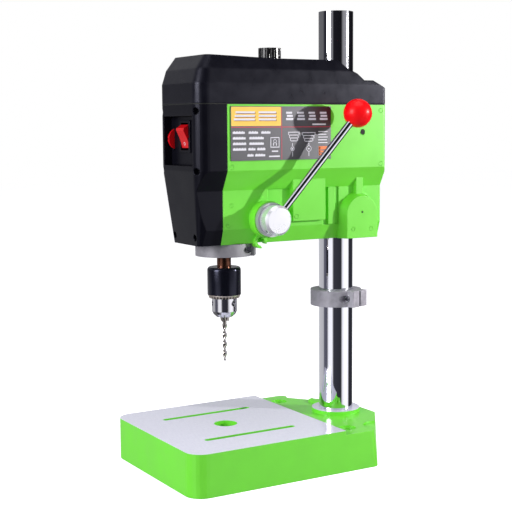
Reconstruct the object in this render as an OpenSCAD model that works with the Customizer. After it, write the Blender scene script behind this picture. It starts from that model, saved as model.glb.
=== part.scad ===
// Small belt-driven bench drill press with a cast base, a chromed column, a head that
// slides and swings on the column, and a lever-fed quill with a keyed chuck.
// Every module is drawn about the spindle axis: X to the feed-lever side, -Y to the front,
// Z up from the bench. placed() then centres the whole machine over the origin.

/* [Base] */
// Width of the base
base_w = 188; // [160:1:220]
// Distance from the spindle axis to the front of the base
base_front = 88; // [75:1:105]
// Height of the machined table above the bench
table_h = 44.6; // [36:0.1:56]
// How far the rear deck lies below the table
deck_drop = 4.6; // [2:0.1:8]
// Distance from the spindle axis to the back edge of the machined table
table_reach = 92; // [80:1:100]
// Width of the narrow rear end of the base
tail_w = 62; // [50:1:80]
// Distance from the column axis to the back of the base
base_tail = 32.6; // [31:0.1:42]
// Length of the slanted rear sides of the base
tail_l = 48; // [40:1:60]
// Thickness of the base casting
base_wall = 7; // [5:0.5:9]
// Radius of the front corners of the base
base_corner_r = 18; // [8:1:30]
// Radius of the slanted rear corners of the base
tail_corner_r = 9; // [4:1:14]
// Thickness of the ribs under the table
rib_t = 5; // [3:0.5:8]
// Radius of the scallop in each slanted rear side
scallop_r = 18; // [12:0.5:22]
// Depth of each scallop
scallop_depth = 12; // [6:0.5:14]

/* [Table] */
// Radius of the clearance hole under the spindle
table_hole_r = 12.5; // [8:0.5:16]
// Distance from the spindle axis to each work slot
slot_x = 48; // [40:1:60]
// Width of each work slot
slot_w = 7; // [5:0.5:12]
// Half the length of each work slot
slot_half_l = 54; // [40:1:64]
// Distance of the slot centres behind the spindle axis
slot_shift = 3; // [0:0.5:8]
// Half the spacing of the two bench bolt holes
bolt_x = 70; // [62:0.5:74]
// Distance from the spindle axis back to the bench bolt holes
bolt_y = 111; // [108:0.5:114]
// Radius of the bench bolt holes
bolt_hole_r = 5.25; // [4:0.25:6]
// Radius of the washer seat round each bench bolt hole
bolt_seat_r = 8.7; // [7:0.1:9]
// Depth of each washer seat
bolt_seat_depth = 2; // [1:0.5:4]

/* [Column] */
// Diameter of the column
column_d = 38; // [34:0.5:42]
// Wall of the column tube
column_wall = 3; // [2:0.5:5]
// Height of the top of the column above the bench
column_top = 485.7; // [470:0.1:560]
// Distance from the spindle axis to the column axis
throat = 143.4; // [141:0.1:160]
// Wall of the socket that holds the column in the base
socket_wall = 8; // [6:0.5:11]
// Thickness of the floor under the column
column_floor = 3; // [2:0.5:6]
// Radius of the column set screw
set_screw_r = 3; // [2.5:0.25:4]
// Radius of the rounded boss round the set screw
set_boss_r = 5; // [4.5:0.25:7]
// Reach of that boss from the column axis
set_boss_reach = 50; // [40:1:56]
// Thickness of the plug that closes the top of the column
plug_t = 8; // [4:0.5:14]
// Wall of the split bush between the column and the head
bush_wall = 1.2; // [1:0.1:2]

/* [Stop collar] */
// Height of the stop collar
collar_h = 17.7; // [14:0.1:24]
// Height of the underside of the stop collar above the bench
collar_z = 162.4; // [150:0.1:170]
// Wall of the stop collar
collar_wall = 9.4; // [7:0.1:12]
// Direction of the split in the stop collar
collar_turn = 19; // [0:1:60]
// Radius of the screw that clamps the stop collar
collar_screw_r = 2.5; // [2:0.25:3]

/* [Head] */
// Height of the underside of the head above the bench
head_z = 240.5; // [236:0.5:260]
// Width of the upper part of the head
head_w = 90; // [88:1:104]
// Width of the waist of the head
waist_w = 68; // [68:1:76]
// Width of the foot of the head
foot_w = 58; // [56:1:64]
// Height of the slanted foot of the head
foot_h = 16; // [10:0.5:22]
// Height of the slanted shoulder above the waist
shoulder_h = 20.5; // [14:0.5:26]
// Height of the waist above the underside of the head
waist_h = 56; // [54:0.5:60]
// Height of the casting from its underside to the cover joint
body_h = 144; // [144:0.5:160]
// Wall of the head casting
head_wall = 4; // [3:0.25:5]
// Distance from the spindle axis to the front of the head
head_front = 52.5; // [52:0.5:60]
// Distance from the spindle axis to the joint between front shell and casting
shell_joint = 19.5; // [17:0.5:21]
// Distance from the column axis to the back of the head
head_tail = 35.6; // [34:0.1:44]
// Radius of the front vertical edges of the head
head_corner_r = 13; // [8:0.5:14]
// Radius of the rear vertical edges of the head
head_rear_r = 4; // [2:0.5:6]
// Wall of the clamp round the column
clamp_wall = 6; // [5:0.5:8]
// Width of the split in the column clamp
clamp_gap = 3; // [2:0.5:4]
// Radius of the two column clamp bolts
clamp_bolt_r = 3; // [2.5:0.25:3.5]

/* [Quill] */
// Radius of the quill
quill_r = 20; // [19:0.5:21]
// Room between the quill and the bearings above it
quill_room = 5.5; // [3.5:0.5:7.5]
// Stroke of the quill
quill_stroke = 60; // [40:1:60]
// Wall of the tube that guides the quill
guide_wall = 7; // [6:0.5:8]
// How far the guide tube reaches out below the head
nose_h = 14; // [12:0.5:16]
// Wall of the slit nose of the guide tube
nose_wall = 3.4; // [2.5:0.1:4]
// Radius of the spindle
spindle_r = 7.5; // [7:0.25:8]
// Wall of the ring that clamps the nose
ring_wall = 6.8; // [6:0.1:9]
// Height of that ring
ring_h = 13.4; // [10:0.2:13.4]
// Direction of the split in that ring
ring_turn = 52; // [30:1:70]
// Module of the feed rack and pinion
gear_module = 1.25; // [1.2:0.01:1.3]
// Height of the pinion shaft above the underside of the head
pinion_rise = 25.2; // [24:0.1:28]
// Radius of the pinion shaft
pinion_shaft_r = 6; // [5:0.5:7]

/* [Feed lever] */
// Radius of the feed hub
hub_r = 15.5; // [14:0.1:17]
// Length of the feed hub
hub_l = 13.5; // [11:0.5:16]
// Bevel on the front of the feed hub
hub_bevel = 2.25; // [1:0.25:5]
// Radius of the steel flange behind the hub
flange_r = 17.8; // [17:0.1:19]
// Thickness of that flange
flange_t = 4.5; // [3:0.5:6]
// Radius of the cast boss round the pinion shaft
boss_r = 19; // [18:0.5:20]
// Length of the lever from the hub axis to the middle of its ball
lever_l = 143; // [110:1:150]
// Radius of the lever rod
lever_rod_r = 4; // [3:0.25:4.5]
// Angle of the resting lever above the horizontal, towards the column
lever_angle = 50; // [30:1:60]
// Outward tilt of the lever
lever_tilt = 6.5; // [6:0.5:9]
// Radius of the ball knob
ball_r = 15; // [12:0.5:16]

/* [Cover] */
// Height of the belt cover above its joint
cover_h = 46.5; // [46:0.5:56]
// Height of the upright skirt of the cover
skirt_h = 20.5; // [16:0.5:24]
// Wall of the cover
cover_wall = 3; // [2:0.25:3.5]
// How far the sides of the cover lean in
cover_side_lean = 8; // [4:0.5:9]
// How far the front of the cover leans in
cover_front_lean = 15; // [8:0.5:16]
// Length of the high part of the cover behind the spindle axis
cover_ridge = 120; // [116:1:124]
// Radius of the cover knob
knob_r = 12; // [9:0.5:14]
// Height of the cover knob
knob_h = 13; // [9:0.5:16]
// Radius of the screw below the cover knob
knob_screw_r = 3; // [2.5:0.25:3.5]

/* [Drive] */
// Radius of the motor
motor_r = 28; // [24:0.5:28.5]
// Length of the motor housing
motor_l = 82; // [76:1:84]
// Radius of the motor shaft
motor_shaft_r = 4; // [3:0.25:5]
// Pitch radius of the largest step of the spindle pulley
step_r = 32; // [30:0.5:34]
// Change of pitch radius from step to step
step_change = 5; // [4:0.25:5.5]
// Pitch radius of the smallest step of the motor pulley
motor_step_r = 12; // [10.5:0.5:13]
// Height of one pulley step
step_h = 10; // [9:0.25:10.5]
// Width of the drive belt
belt_w = 7; // [5:0.5:7.5]
// Thickness of the drive belt
belt_t = 4; // [3:0.25:4.5]

/* [Chuck] */
// Radius of the chuck sleeve
sleeve_r = 17.9; // [17:0.1:20]
// Length of the chuck sleeve above its teeth
sleeve_l = 29.2; // [27:0.1:32]
// Height of the ring of teeth
crown_h = 4; // [3:0.25:5]
// Radius of the chuck body
chuck_r = 13.4; // [12.5:0.1:13.8]
// How far the chuck body stands out below the teeth
chuck_nose_l = 20; // [16:0.5:24]
// How far the spindle shows between the quill and the chuck
spindle_out = 13.6; // [10:0.1:18]
// Radius of each jaw
jaw_r = 2.6; // [2.4:0.1:2.7]
// Lean of the jaws
jaw_lean = 12; // [9:0.5:12.5]
// How far the jaws can open along their lean
jaw_travel = 14; // [8:0.5:14.5]
// Radius of the drill bit
bit_r = 2.1; // [1.5:0.1:2.5]
// How far the drill bit stands out below the chuck body
bit_out = 48.9; // [35:0.1:60]

/* [Switch] */
// Half the width of the switch recess
recess_half_w = 32; // [31:0.5:34]
// Height of the switch recess
recess_h = 50.5; // [46:0.5:54]
// Height of the recess floor's lower edge above the underside of the head
recess_rise = 81.5; // [80:0.5:84]
// Depth of the switch recess
recess_depth = 9; // [7:0.5:10]
// Width of the rocker
rocker_w = 16.5; // [14:0.5:18]
// Height of the rocker
rocker_h = 24.6; // [22:0.2:26]
// Swing of the rocker from off to on
rocker_swing = 26; // [16:1:28]
// Radius of the speed dial
dial_r = 11; // [9.5:0.5:12.5]
// Width of the speed dial
dial_w = 3; // [2.5:0.5:7]

/* [Label] */
// Length of the label plate
label_l = 121.5; // [100:0.5:126]
// Height of the label plate
label_h = 55; // [40:0.5:60]
// Thickness of the label plate
label_t = 0.8; // [0.5:0.1:1.5]

/* [Hidden] */
$fn = 96;
arc_steps = 8;
small_fn = 32;

// Fits, shared by every piece
run_fit = 0.05;
seat_fit = 0.02;
air = 0.3;
over = 1;
slab = 0.1;

// Heights of the head, from the bench up
nose_z = head_z - nose_h;
waist_z = head_z + waist_h;
shoulder_z = waist_z + shoulder_h;
seat_z = head_z + body_h;
deck_sink = 3;
deck_t = 4;
deck_top = seat_z - deck_sink;
cover_top = seat_z + cover_h;

// Half widths and depths of the head
head_half = head_w / 2;
waist_half = waist_w / 2;
foot_half = foot_w / 2;
head_back = throat + head_tail;
front_y = -head_front;
shell_foot_lean = 7.5;
shell_foot_half = 27;

// Column and base
column_r = column_d / 2;
column_hole_r = column_r + run_fit;
bush_r = column_hole_r + bush_wall;
head_hole_r = bush_r + run_fit;
clamp_r = head_hole_r + clamp_wall;
socket_r = column_r + socket_wall;
base_half = base_w / 2;
tail_half = tail_w / 2;
base_back = throat + base_tail;
taper_y = base_back - tail_l;
deck_z = table_h - deck_drop;

// Guide tube
quill_hole_r = quill_r + run_fit;
guide_r = quill_r + guide_wall;
nose_r = quill_r + nose_wall;

// Ball bearings: radius of the bore, outer radius and width
spindle_race_t = 8.5;
spindle_race_w = 9;
sleeve_race_t = 8;
sleeve_race_w = 12;
motor_race_t = 7;
motor_race_w = 7;
sleeve_wall = 2.5;
drive_sleeve_r = spindle_r + sleeve_wall;
spindle_bearing = [spindle_r, spindle_r + spindle_race_t, spindle_race_w];
sleeve_bearing = [drive_sleeve_r, drive_sleeve_r + sleeve_race_t, sleeve_race_w];
motor_bearing = [motor_shaft_r, motor_shaft_r + motor_race_t, motor_race_w];

// Quill, rack and pinion
quill_lift = 1.5;
rack_inset = 2.5;
rack_margin = 12;
rack_teeth = 22;
pinion_teeth = 20;
pinion_half_l = 13;
bush_land = 1;
tooth_share = 0.34;
pressure_angle = 20;
quill_z = nose_z + quill_lift;
quill_top = deck_top - 2 * sleeve_race_w - quill_room;
quill_l = quill_top - quill_z;
pinion_pitch_r = gear_module * pinion_teeth / 2;
tooth_pitch = PI * gear_module;
addendum = gear_module;
dedendum = 1.25 * gear_module;
pinion_tip_r = pinion_pitch_r + addendum;
pinion_bush_r = pinion_tip_r + bush_land;
rack_pitch_y = quill_r - rack_inset;
pinion_y = rack_pitch_y + pinion_pitch_r;
pinion_z = head_z + pinion_rise;
rack_low = quill_z + spindle_race_w + rack_margin;

// Drive above the deck
motor_gap = 1.1;
post_gap = 2;
post_wall = 2;
pulley_lift = 5;
pulley_steps = 3;
belt_step = 1;
nut_h = 5;
sleeve_gap = 3;
spindle_gap = 2.5;
rim = belt_t / 4;
motor_y = throat - clamp_r - motor_gap - motor_r;
post_r = knob_screw_r + post_wall;
motor_pulley_r = motor_step_r + (pulley_steps - 1) * step_change + rim;
knob_y = motor_y - motor_pulley_r - post_r - post_gap;
pulley_z = deck_top + pulley_lift;
pulley_top = pulley_z + pulley_steps * step_h;
belt_z = pulley_z + (belt_step + 1 / 2) * step_h;
sleeve_low = quill_top + sleeve_gap;
spindle_top = cover_top - cover_wall - spindle_gap;
motor_top = deck_top - deck_t;
motor_bottom = motor_top - motor_l;

// Feed lever
boss_proud = 0.5;
boss_face = head_half + boss_proud;
flange_face = boss_face + flange_t;
hub_back = flange_face + air;
hub_face = hub_back + hub_l;
lever_x = hub_back + (hub_l - hub_bevel) / 2;

// Chuck, hung from the quill
chuck_top = quill_z - spindle_out;
sleeve_z = chuck_top - sleeve_l;
crown_z = sleeve_z - crown_h;
chuck_nose_z = crown_z - chuck_nose_l;
bit_tip_z = chuck_nose_z - bit_out;

// Switch recess
plate_t = 2.5;
switch_rise_share = 0.59;
recess_z = head_z + recess_rise;
recess_y = front_y + recess_depth;
recess_back = recess_y + plate_t;
switch_z = recess_z + recess_h * switch_rise_share;

// Centre of the machine's footprint, which becomes the origin
inlet_reach = 14;
centre_y = (head_back + inlet_reach - base_front) / 2;

function unit(v) = v / norm(v);

// Points of the arc that rounds corner q, between the edges towards p and s
function corner_arc(p, q, s, r) =
  let (a = unit(p - q), b = unit(s - q), half = acos(a * b) / 2,
       centre = q + unit(a + b) * r / sin(half), from = q + a * r / tan(half) - centre,
       to = q + b * r / tan(half) - centre, start = atan2(from[1], from[0]),
       turn = atan2(to[1], to[0]) - start,
       sweep = turn > 180 ? turn - 360 : turn < -180 ? turn + 360 : turn)
  [for (k = [0 : arc_steps])
    centre + r * [cos(start + sweep * k / arc_steps), sin(start + sweep * k / arc_steps)]];

// Outline through corners given as [x, y, radius]
function rounded(corners) =
  let (n = len(corners))
  [for (i = [0 : n - 1])
    let (p = corners[(i + n - 1) % n], q = corners[i], s = corners[(i + 1) % n])
    each (q[2] <= 0 ? [[q[0], q[1]]]
      : corner_arc([p[0], p[1]], [q[0], q[1]], [s[0], s[1]], q[2]))];

// The same corners mirrored to the other side of x = 0, in order round the outline
function both_sides(right) =
  concat(right, [for (i = [len(right) - 1 : -1 : 0]) [-right[i][0], right[i][1], right[i][2]]]);

module placed() {
  translate([0, -centre_y, 0]) children();
}

module at_column() {
  translate([0, throat, 0]) children();
}

module at_motor() {
  translate([0, motor_y, 0]) children();
}

// Round bar along X from x0 to x1
module bar_x(x0, x1, y, z, r) {
  translate([x0, y, z]) rotate([0, 90, 0]) cylinder(r = r, h = x1 - x0);
}

// Round bar along Y from y0 to y1
module bar_y(y0, y1, x, z, r) {
  translate([x, y0, z]) rotate([-90, 0, 0]) cylinder(r = r, h = y1 - y0);
}

// Upright ring
module ring(inner, outer, z0, z1) {
  translate([0, 0, z0]) difference() {
    cylinder(r = outer, h = z1 - z0);
    translate([0, 0, -over]) cylinder(r = inner, h = z1 - z0 + 2 * over);
  }
}

// Block between two corners
module block(low, high) {
  translate(low) cube(high - low);
}

// Upright prism from an outline
module prism(points, z0, z1) {
  translate([0, 0, z0]) linear_extrude(z1 - z0) polygon(points);
}

// Prism along X from an outline in Y and Z
module prism_x(points, x0, x1) {
  translate([x0, 0, 0]) rotate([90, 0, 90]) linear_extrude(x1 - x0) polygon(points);
}

// Prism along Y from an outline in X and Z
module prism_y(points, y0, y1) {
  translate([0, y1, 0]) rotate([90, 0, 0]) linear_extrude(y1 - y0) polygon(points);
}

head_r_share = 1.6;
head_h_share = 1.8;
key_share = 0.95;

// Socket head screw along its own +Z, head upwards, seat of the head at z = 0
module cap_screw(r, length) {
  head_h = r * head_h_share;
  key_r = r * key_share;
  difference() {
    union() {
      cylinder(r = r * head_r_share, h = head_h, $fn = small_fn);
      translate([0, 0, -length]) cylinder(r = r, h = length, $fn = small_fn);
    }
    translate([0, 0, head_h - r]) cylinder(r = key_r, h = r + over, $fn = 6);
  }
}

// Ball bearing drawn as its two races with a ring of balls between them
module bearing(sizes) {
  race = (sizes[1] - sizes[0]) * 0.28;
  ring(sizes[0] + seat_fit, sizes[0] + race, 0, sizes[2]);
  ring(sizes[1] - race, sizes[1], 0, sizes[2]);
  ring(sizes[0] + race, sizes[1] - race, sizes[2] * 0.3, sizes[2] * 0.7);
}

// Mirrored copies on both sides of the machine
module both_x() {
  children();
  mirror([1, 0, 0]) children();
}

// Outline of the base, drawn in by inset on every side
function base_outline(inset, flare = 0) =
  let (side_turn = atan2(base_half - tail_half, tail_l), tail_turn = 90 - side_turn,
       least = base_wall / 2)
  rounded(both_sides([
    [base_half - inset, inset - base_front, max(base_corner_r - inset, least)],
    [base_half - inset, taper_y + flare - inset * tan(side_turn / 2), tail_corner_r],
    [tail_half - inset * tan(tail_turn / 2), base_back + flare / 2 - inset,
      max(tail_corner_r - inset, least)]
  ]));

scallop_share = 0.3;
tail_draft = 5;
slant = [tail_half - base_half, tail_l];
slant_out = [slant[1], -slant[0]] / norm(slant);
scallop_at = [base_half, taper_y] + slant * scallop_share + slant_out * (scallop_r - scallop_depth);
set_screw_drop = 1;
set_screw_z = deck_z - set_screw_drop;
set_access_l = 12;
bolt_boss_wall = 2;
rib_x = (slot_x + table_hole_r - rib_t) / 2;
rib_y_shares = [-0.62, 0.78];

// The two slots of the table, right through the base
module work_slot() {
  half_run = slot_half_l - slot_w / 2;
  translate([slot_x, slot_shift, -over]) linear_extrude(table_h + 2 * over) {
    square([slot_w, 2 * half_run], center = true);
    for (end = [-1, 1]) translate([0, end * half_run]) circle(r = slot_w / 2);
  }
}

// Space under the table and the deck, less the ribs and bosses that stand in it
module base_cavity() {
  difference() {
    union() {
      prism(base_outline(base_wall), -over, deck_z - base_wall);
      intersection() {
        prism(base_outline(base_wall), -over, table_h - base_wall);
        block([-base_w, -base_w, -2 * over], [base_w, table_reach - base_wall, table_h]);
      }
    }
    at_column() cylinder(r = socket_r, h = table_h);
    both_x() {
      translate([bolt_x, bolt_y, 0]) cylinder(r = bolt_seat_r + bolt_boss_wall, h = table_h);
      translate([scallop_at[0], scallop_at[1], 0]) cylinder(r = scallop_r + base_wall, h = table_h);
      block([rib_x, -base_front, base_wall], [rib_x + rib_t, taper_y, table_h]);
    }
    for (y = [base_front * rib_y_shares[0], table_reach * rib_y_shares[1]])
      block([-base_half, y, base_wall], [base_half, y + rib_t, table_h]);
    cylinder(r = table_hole_r + rib_t, h = table_h);
  }
}

module base_casting() {
  color([0.56, 0.92, 0.38]) placed() difference() {
    union() {
      difference() {
        union() {
          hull() {
            prism(base_outline(0, tail_draft), 0, slab);
            prism(base_outline(0), deck_z - slab, deck_z);
          }
          intersection() {
            prism(base_outline(0), 0, table_h);
            block([-base_w, -base_w, 0], [base_w, table_reach, table_h]);
          }
          at_column() cylinder(r = socket_r, h = table_h);
        }
        base_cavity();
      }
      bar_x(-set_boss_reach, -column_r - set_screw_r, throat, set_screw_z, set_boss_r);
    }
    at_column() translate([0, 0, column_floor]) cylinder(r = column_r + seat_fit, h = table_h);
    translate([0, 0, -over]) cylinder(r = table_hole_r, h = table_h + 2 * over);
    both_x() {
      work_slot();
      translate([bolt_x, bolt_y, -over]) cylinder(r = bolt_hole_r, h = table_h);
      translate([bolt_x, bolt_y, deck_z - bolt_seat_depth]) cylinder(r = bolt_seat_r, h = table_h);
      translate([scallop_at[0], scallop_at[1], deck_z - bolt_seat_depth])
        cylinder(r = scallop_r, h = table_h);
    }
    bar_x(-set_boss_reach - set_access_l, 0, throat, set_screw_z, set_screw_r + seat_fit);
  }
}

module column_tube() {
  color([0.82, 0.83, 0.86]) placed() at_column()
    ring(column_r - column_wall, column_r, column_floor, column_top);
}

module column_plug() {
  color([0.5, 0.5, 0.52]) placed() at_column() translate([0, 0, column_top - plug_t])
    cylinder(r = column_r - column_wall - seat_fit, h = plug_t - air);
}

module column_set_screw() {
  color([0.3, 0.3, 0.32]) placed() difference() {
    bar_x(-set_boss_reach, -column_r - seat_fit, throat, set_screw_z, set_screw_r);
    translate([-set_boss_reach - over, throat, set_screw_z]) rotate([0, 90, 0])
      cylinder(r = set_screw_r / 2, h = set_screw_r + over, $fn = 6);
  }
}

// Stop collar, drawn with its split towards +X and turned to its place
collar_ear_l = 5;
collar_ear_half = 12.5;
collar_gap = 3;
collar_screw_inset = 1.7;
collar_r = column_r + collar_wall;
collar_ear_r = collar_r + collar_ear_l;
collar_screw_x = collar_r - collar_screw_r * collar_screw_inset;
collar_seat_y = collar_screw_r * head_h_share - collar_ear_half;

module at_collar() {
  at_column() rotate([0, 0, collar_turn]) translate([0, 0, collar_z]) children();
}

module stop_collar() {
  color([0.57, 0.55, 0.58]) placed() at_collar() difference() {
    union() {
      cylinder(r = collar_r, h = collar_h);
      block([column_r, -collar_ear_half, 0], [collar_ear_r, collar_ear_half, collar_h]);
    }
    translate([0, 0, -over]) cylinder(r = column_hole_r, h = collar_h + 2 * over);
    block([0, -collar_gap / 2, -over], [collar_ear_r + over, collar_gap / 2, collar_h + over]);
    bar_y(-collar_ear_r, 0, collar_screw_x, collar_h / 2, collar_screw_r + air);
    bar_y(0, collar_ear_r, collar_screw_x, collar_h / 2, collar_screw_r + seat_fit);
    bar_y(-collar_ear_r, collar_seat_y, collar_screw_x, collar_h / 2,
      collar_screw_r * head_r_share + air);
  }
}

module collar_screw() {
  color([0.75, 0.75, 0.78]) placed() at_collar()
    translate([collar_screw_x, collar_seat_y, collar_h / 2]) rotate([90, 0, 0])
      cap_screw(collar_screw_r, collar_ear_half - collar_seat_y - over);
}

// Split bush that the head turns on; it slides on the column with the head
bush_slit = 2;

module column_bush() {
  color([0.72, 0.6, 0.35]) placed() at_column() difference() {
    ring(column_hole_r, bush_r, head_z + over, deck_top - over);
    block([-bush_slit / 2, 0, head_z], [bush_slit / 2, bush_r + over, deck_top]);
  }
}

// Head: fastenings and inner parts
post_rise = 22;
post_bore_floor = 2;
clamp_bolt_rises = [16, 60];
clamp_bolt_gap = 1.6;
clamp_pad_t = 3;
clamp_pad_share = 2.6;
clamp_ear_half = 22;
ear_inset = 10;
clamp_bolt_y = throat + head_hole_r + clamp_bolt_r + clamp_bolt_gap;
shell_t = 3;
shell_screw_r = 2;
shell_screw_l = 32;
shell_post_r = 5.2;
shell_screw_seat = 9;
shell_foot_seat = 6;
shell_tap_l = 14;
shell_screw_x_inset = 8;
shell_screw_drop = 7.5;
shell_foot_x_inset = 11.4;
shell_foot_rise = 8.5;
shell_foot_y = shell_foot_lean - head_front;
shell_screws_at = [
  [head_half - shell_screw_x_inset, front_y + shell_screw_seat, seat_z - shell_screw_drop],
  [head_half - shell_screw_x_inset, front_y + shell_screw_seat, shoulder_z],
  [waist_half - shell_foot_x_inset, shell_foot_y + shell_foot_seat, head_z + shell_foot_rise]
];
motor_screw_r = 2.5;
motor_screw_share = 0.68;
motor_screw_x = motor_r * motor_screw_share;
motor_shaft_air = 3;
bearing_lip = 2;
pinion_bush_in = pinion_half_l + 2 * over;
nose_slit = 1.6;
ring_gap = 0.2;
inlet_r = 6;
inlet_drop = 40;
inlet_x = -(clamp_ear_half + head_half - head_wall) / 2;
inlet_z = seat_z - inlet_drop;

// Head: pads and bosses cast on its sides, with depths measured back from the spindle axis
pad_rise = 21.5;
pad_front = 62;
pad_back = 103;
pad_share = 0.47;
strip_front = 109;
strip_back = 118;
panel_back = 34;
relief = 1.5;
side_boss_shift = 4;
side_boss_rise = 25.5;
side_boss_base = 24;
side_boss_tip = 20.2;
side_rib_front = 4.2;
side_rib_back = 4.8;
hook_y = 25.5;
hook_rise = 2;
hook_hole_r = 4.3;
hook_wall = 3.1;
hook_t = 8;
hook_turn = -50;
hook_mouth_share = 0.75;
hook_z = head_z + hook_rise;
hook_r = hook_hole_r + hook_wall;

// Cross-section of the head in X and Z, drawn in by inset
function head_profile(inset, top) =
  let (half = head_half - inset, waist = waist_half - inset, foot = foot_half - inset,
       right = [[foot, head_z + inset], [waist, head_z + foot_h], [waist, waist_z],
                [half, shoulder_z], [half, top]])
  concat(right, [for (i = [len(right) - 1 : -1 : 0]) [-right[i][0], right[i][1]]]);

// Outline of the head seen from above, drawn in by inset
function head_plan(inset) =
  rounded(both_sides([
    [head_half - inset, inset - head_front, max(head_corner_r - inset, head_wall / 2)],
    [head_half - inset, head_back - inset, max(head_rear_r - inset, head_wall / 4)]
  ]));

// Cast pads, rib and clamp boss that stand out from one side of the waist
module side_features() {
  slope = (head_half - waist_half) / shoulder_h;
  pad_half = waist_half + shoulder_h * slope * pad_share;
  pad_top = waist_z + (pad_half - waist_half) / slope;
  inner = waist_half - head_wall;
  mid_y = throat + side_boss_shift;
  mid_z = head_z + side_boss_rise;
  block([inner, pad_front, head_z + pad_rise], [pad_half, pad_back, pad_top]);
  block([inner, strip_front, head_z + foot_h], [waist_half + relief, strip_back, waist_z]);
  prism([[inner, mid_y - side_boss_base], [waist_half, mid_y - side_boss_base],
         [head_half, mid_y - side_boss_tip], [head_half, mid_y + side_boss_tip],
         [waist_half, mid_y + side_boss_base], [inner, mid_y + side_boss_base]], head_z, mid_z);
  translate([waist_half, mid_y, mid_z]) rotate([0, 90, 0])
    cylinder(r1 = side_boss_base, r2 = side_boss_tip, h = head_half - waist_half);
  block([inner, mid_y - side_rib_front, mid_z], [pad_half, mid_y + side_rib_back, pad_top]);
}

// Shallow reliefs between those pads
module side_reliefs() {
  boss_front = throat + side_boss_shift - side_boss_base;
  for (span = [[panel_back, pad_front], [pad_back, strip_front], [strip_back, boss_front]])
    block([waist_half - relief, span[0], head_z + foot_h], [head_w, span[1], waist_z]);
}

module head_solid() {
  intersection() {
    prism_y(head_profile(0, seat_z), -shell_joint, head_back);
    prism(head_plan(0), head_z, seat_z);
  }
}

module head_cavity() {
  prism_y(head_profile(head_wall, motor_top), -shell_joint - over, head_back - head_wall);
  block([head_wall - head_half, -shell_joint - over, deck_top],
    [head_half - head_wall, head_back - head_wall, seat_z + over]);
}

module clamp_block() {
  at_column() translate([0, 0, head_z]) cylinder(r = clamp_r, h = deck_top - head_z);
  block([-clamp_ear_half, throat + ear_inset, head_z],
    [clamp_ear_half, head_back - head_wall, deck_top]);
  for (rise = clamp_bolt_rises)
    bar_x(-waist_half - clamp_pad_t, -clamp_ear_half, clamp_bolt_y, head_z + rise,
      clamp_bolt_r * clamp_pad_share);
}

module quill_bores() {
  bearings_z = deck_top - 2 * sleeve_race_w;
  translate([0, 0, nose_z - over]) cylinder(r = quill_hole_r, h = sleeve_low - nose_z);
  translate([0, 0, nose_z]) cylinder(r = sleeve_bearing[1] - bearing_lip, h = body_h);
  translate([0, 0, bearings_z]) cylinder(r = sleeve_bearing[1] + seat_fit, h = cover_h);
  rotate([0, 0, ring_turn])
    block([0, -nose_slit / 2, nose_z - over], [nose_r + over, nose_slit / 2, head_z - ring_gap]);
}

module clamp_bores() {
  at_column() translate([0, 0, head_z - over]) cylinder(r = head_hole_r, h = body_h + 2 * over);
  block([-clamp_gap / 2, throat, head_z - over], [clamp_gap / 2, head_back + over, seat_z + over]);
  for (rise = clamp_bolt_rises) {
    bar_x(-head_w, 0, clamp_bolt_y, head_z + rise, clamp_bolt_r + air);
    bar_x(0, clamp_ear_half - over, clamp_bolt_y, head_z + rise, clamp_bolt_r + seat_fit);
    bar_x(-head_w, -waist_half - clamp_pad_t, clamp_bolt_y, head_z + rise,
      clamp_bolt_r * head_r_share + air);
  }
}

module head_bores() {
  quill_bores();
  clamp_bores();
  bar_x(-head_w, head_w, pinion_y, pinion_z, pinion_bush_r + seat_fit);
  at_motor() translate([0, 0, motor_top - over]) {
    cylinder(r = motor_shaft_r + motor_shaft_air, h = deck_t + 2 * over);
    for (side = [-1, 1]) translate([side * motor_screw_x, 0, 0])
      cylinder(r = motor_screw_r + air, h = deck_t + 2 * over);
  }
  translate([0, knob_y, deck_top + post_bore_floor])
    cylinder(r = knob_screw_r + run_fit, h = cover_h);
  both_x() for (at = shell_screws_at)
    bar_y(-shell_joint - over, shell_tap_l - shell_joint - over, at[0], at[2],
      shell_screw_r + seat_fit);
  bar_y(head_back - 2 * head_wall, head_back + over, inlet_x, inlet_z, inlet_r + seat_fit);
}

module key_hook_cut() {
  reach = hook_r + over;
  bar_x(waist_half - hook_t - over, head_w, hook_y, hook_z, hook_hole_r);
  translate([waist_half - hook_t - over, hook_y, hook_z]) rotate([hook_turn, 0, 0])
    block([0, 0, -hook_hole_r * hook_mouth_share], [head_w, reach, hook_hole_r * hook_mouth_share]);
}

module head_casting() {
  color([0.5, 0.87, 0.3]) placed() difference() {
    union() {
      difference() {
        union() {
          head_solid();
          both_x() side_features();
        }
        head_cavity();
        both_x() side_reliefs();
      }
      translate([0, 0, head_z]) cylinder(r = guide_r, h = deck_top - head_z);
      translate([0, 0, nose_z]) cylinder(r = nose_r, h = nose_h + over);
      bar_x(-boss_face, boss_face, pinion_y, pinion_z, boss_r);
      bar_x(waist_half - hook_t, waist_half, hook_y, hook_z, hook_r);
      clamp_block();
      translate([0, knob_y, motor_top]) cylinder(r = post_r, h = deck_t + post_rise);
      both_x() for (at = shell_screws_at)
        bar_y(-shell_joint, shell_tap_l - shell_joint, at[0], at[2], shell_post_r);
    }
    head_bores();
    key_hook_cut();
  }
}

module clamp_bolts() {
  color([0.2, 0.2, 0.22]) placed() for (rise = clamp_bolt_rises)
    translate([-waist_half - clamp_pad_t, clamp_bolt_y, head_z + rise]) rotate([0, -90, 0])
      cap_screw(clamp_bolt_r, waist_half + clamp_pad_t + clamp_ear_half - 2 * over);
}

// Front shell
recess_rim = 2.2;
ledge = 2.5;
shell_side_run = 12;
board_t = 1.6;
board_gap = 6;
board_half_w = 26;
board_y = -guide_r - board_gap;
standoff_x = 20;

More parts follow.
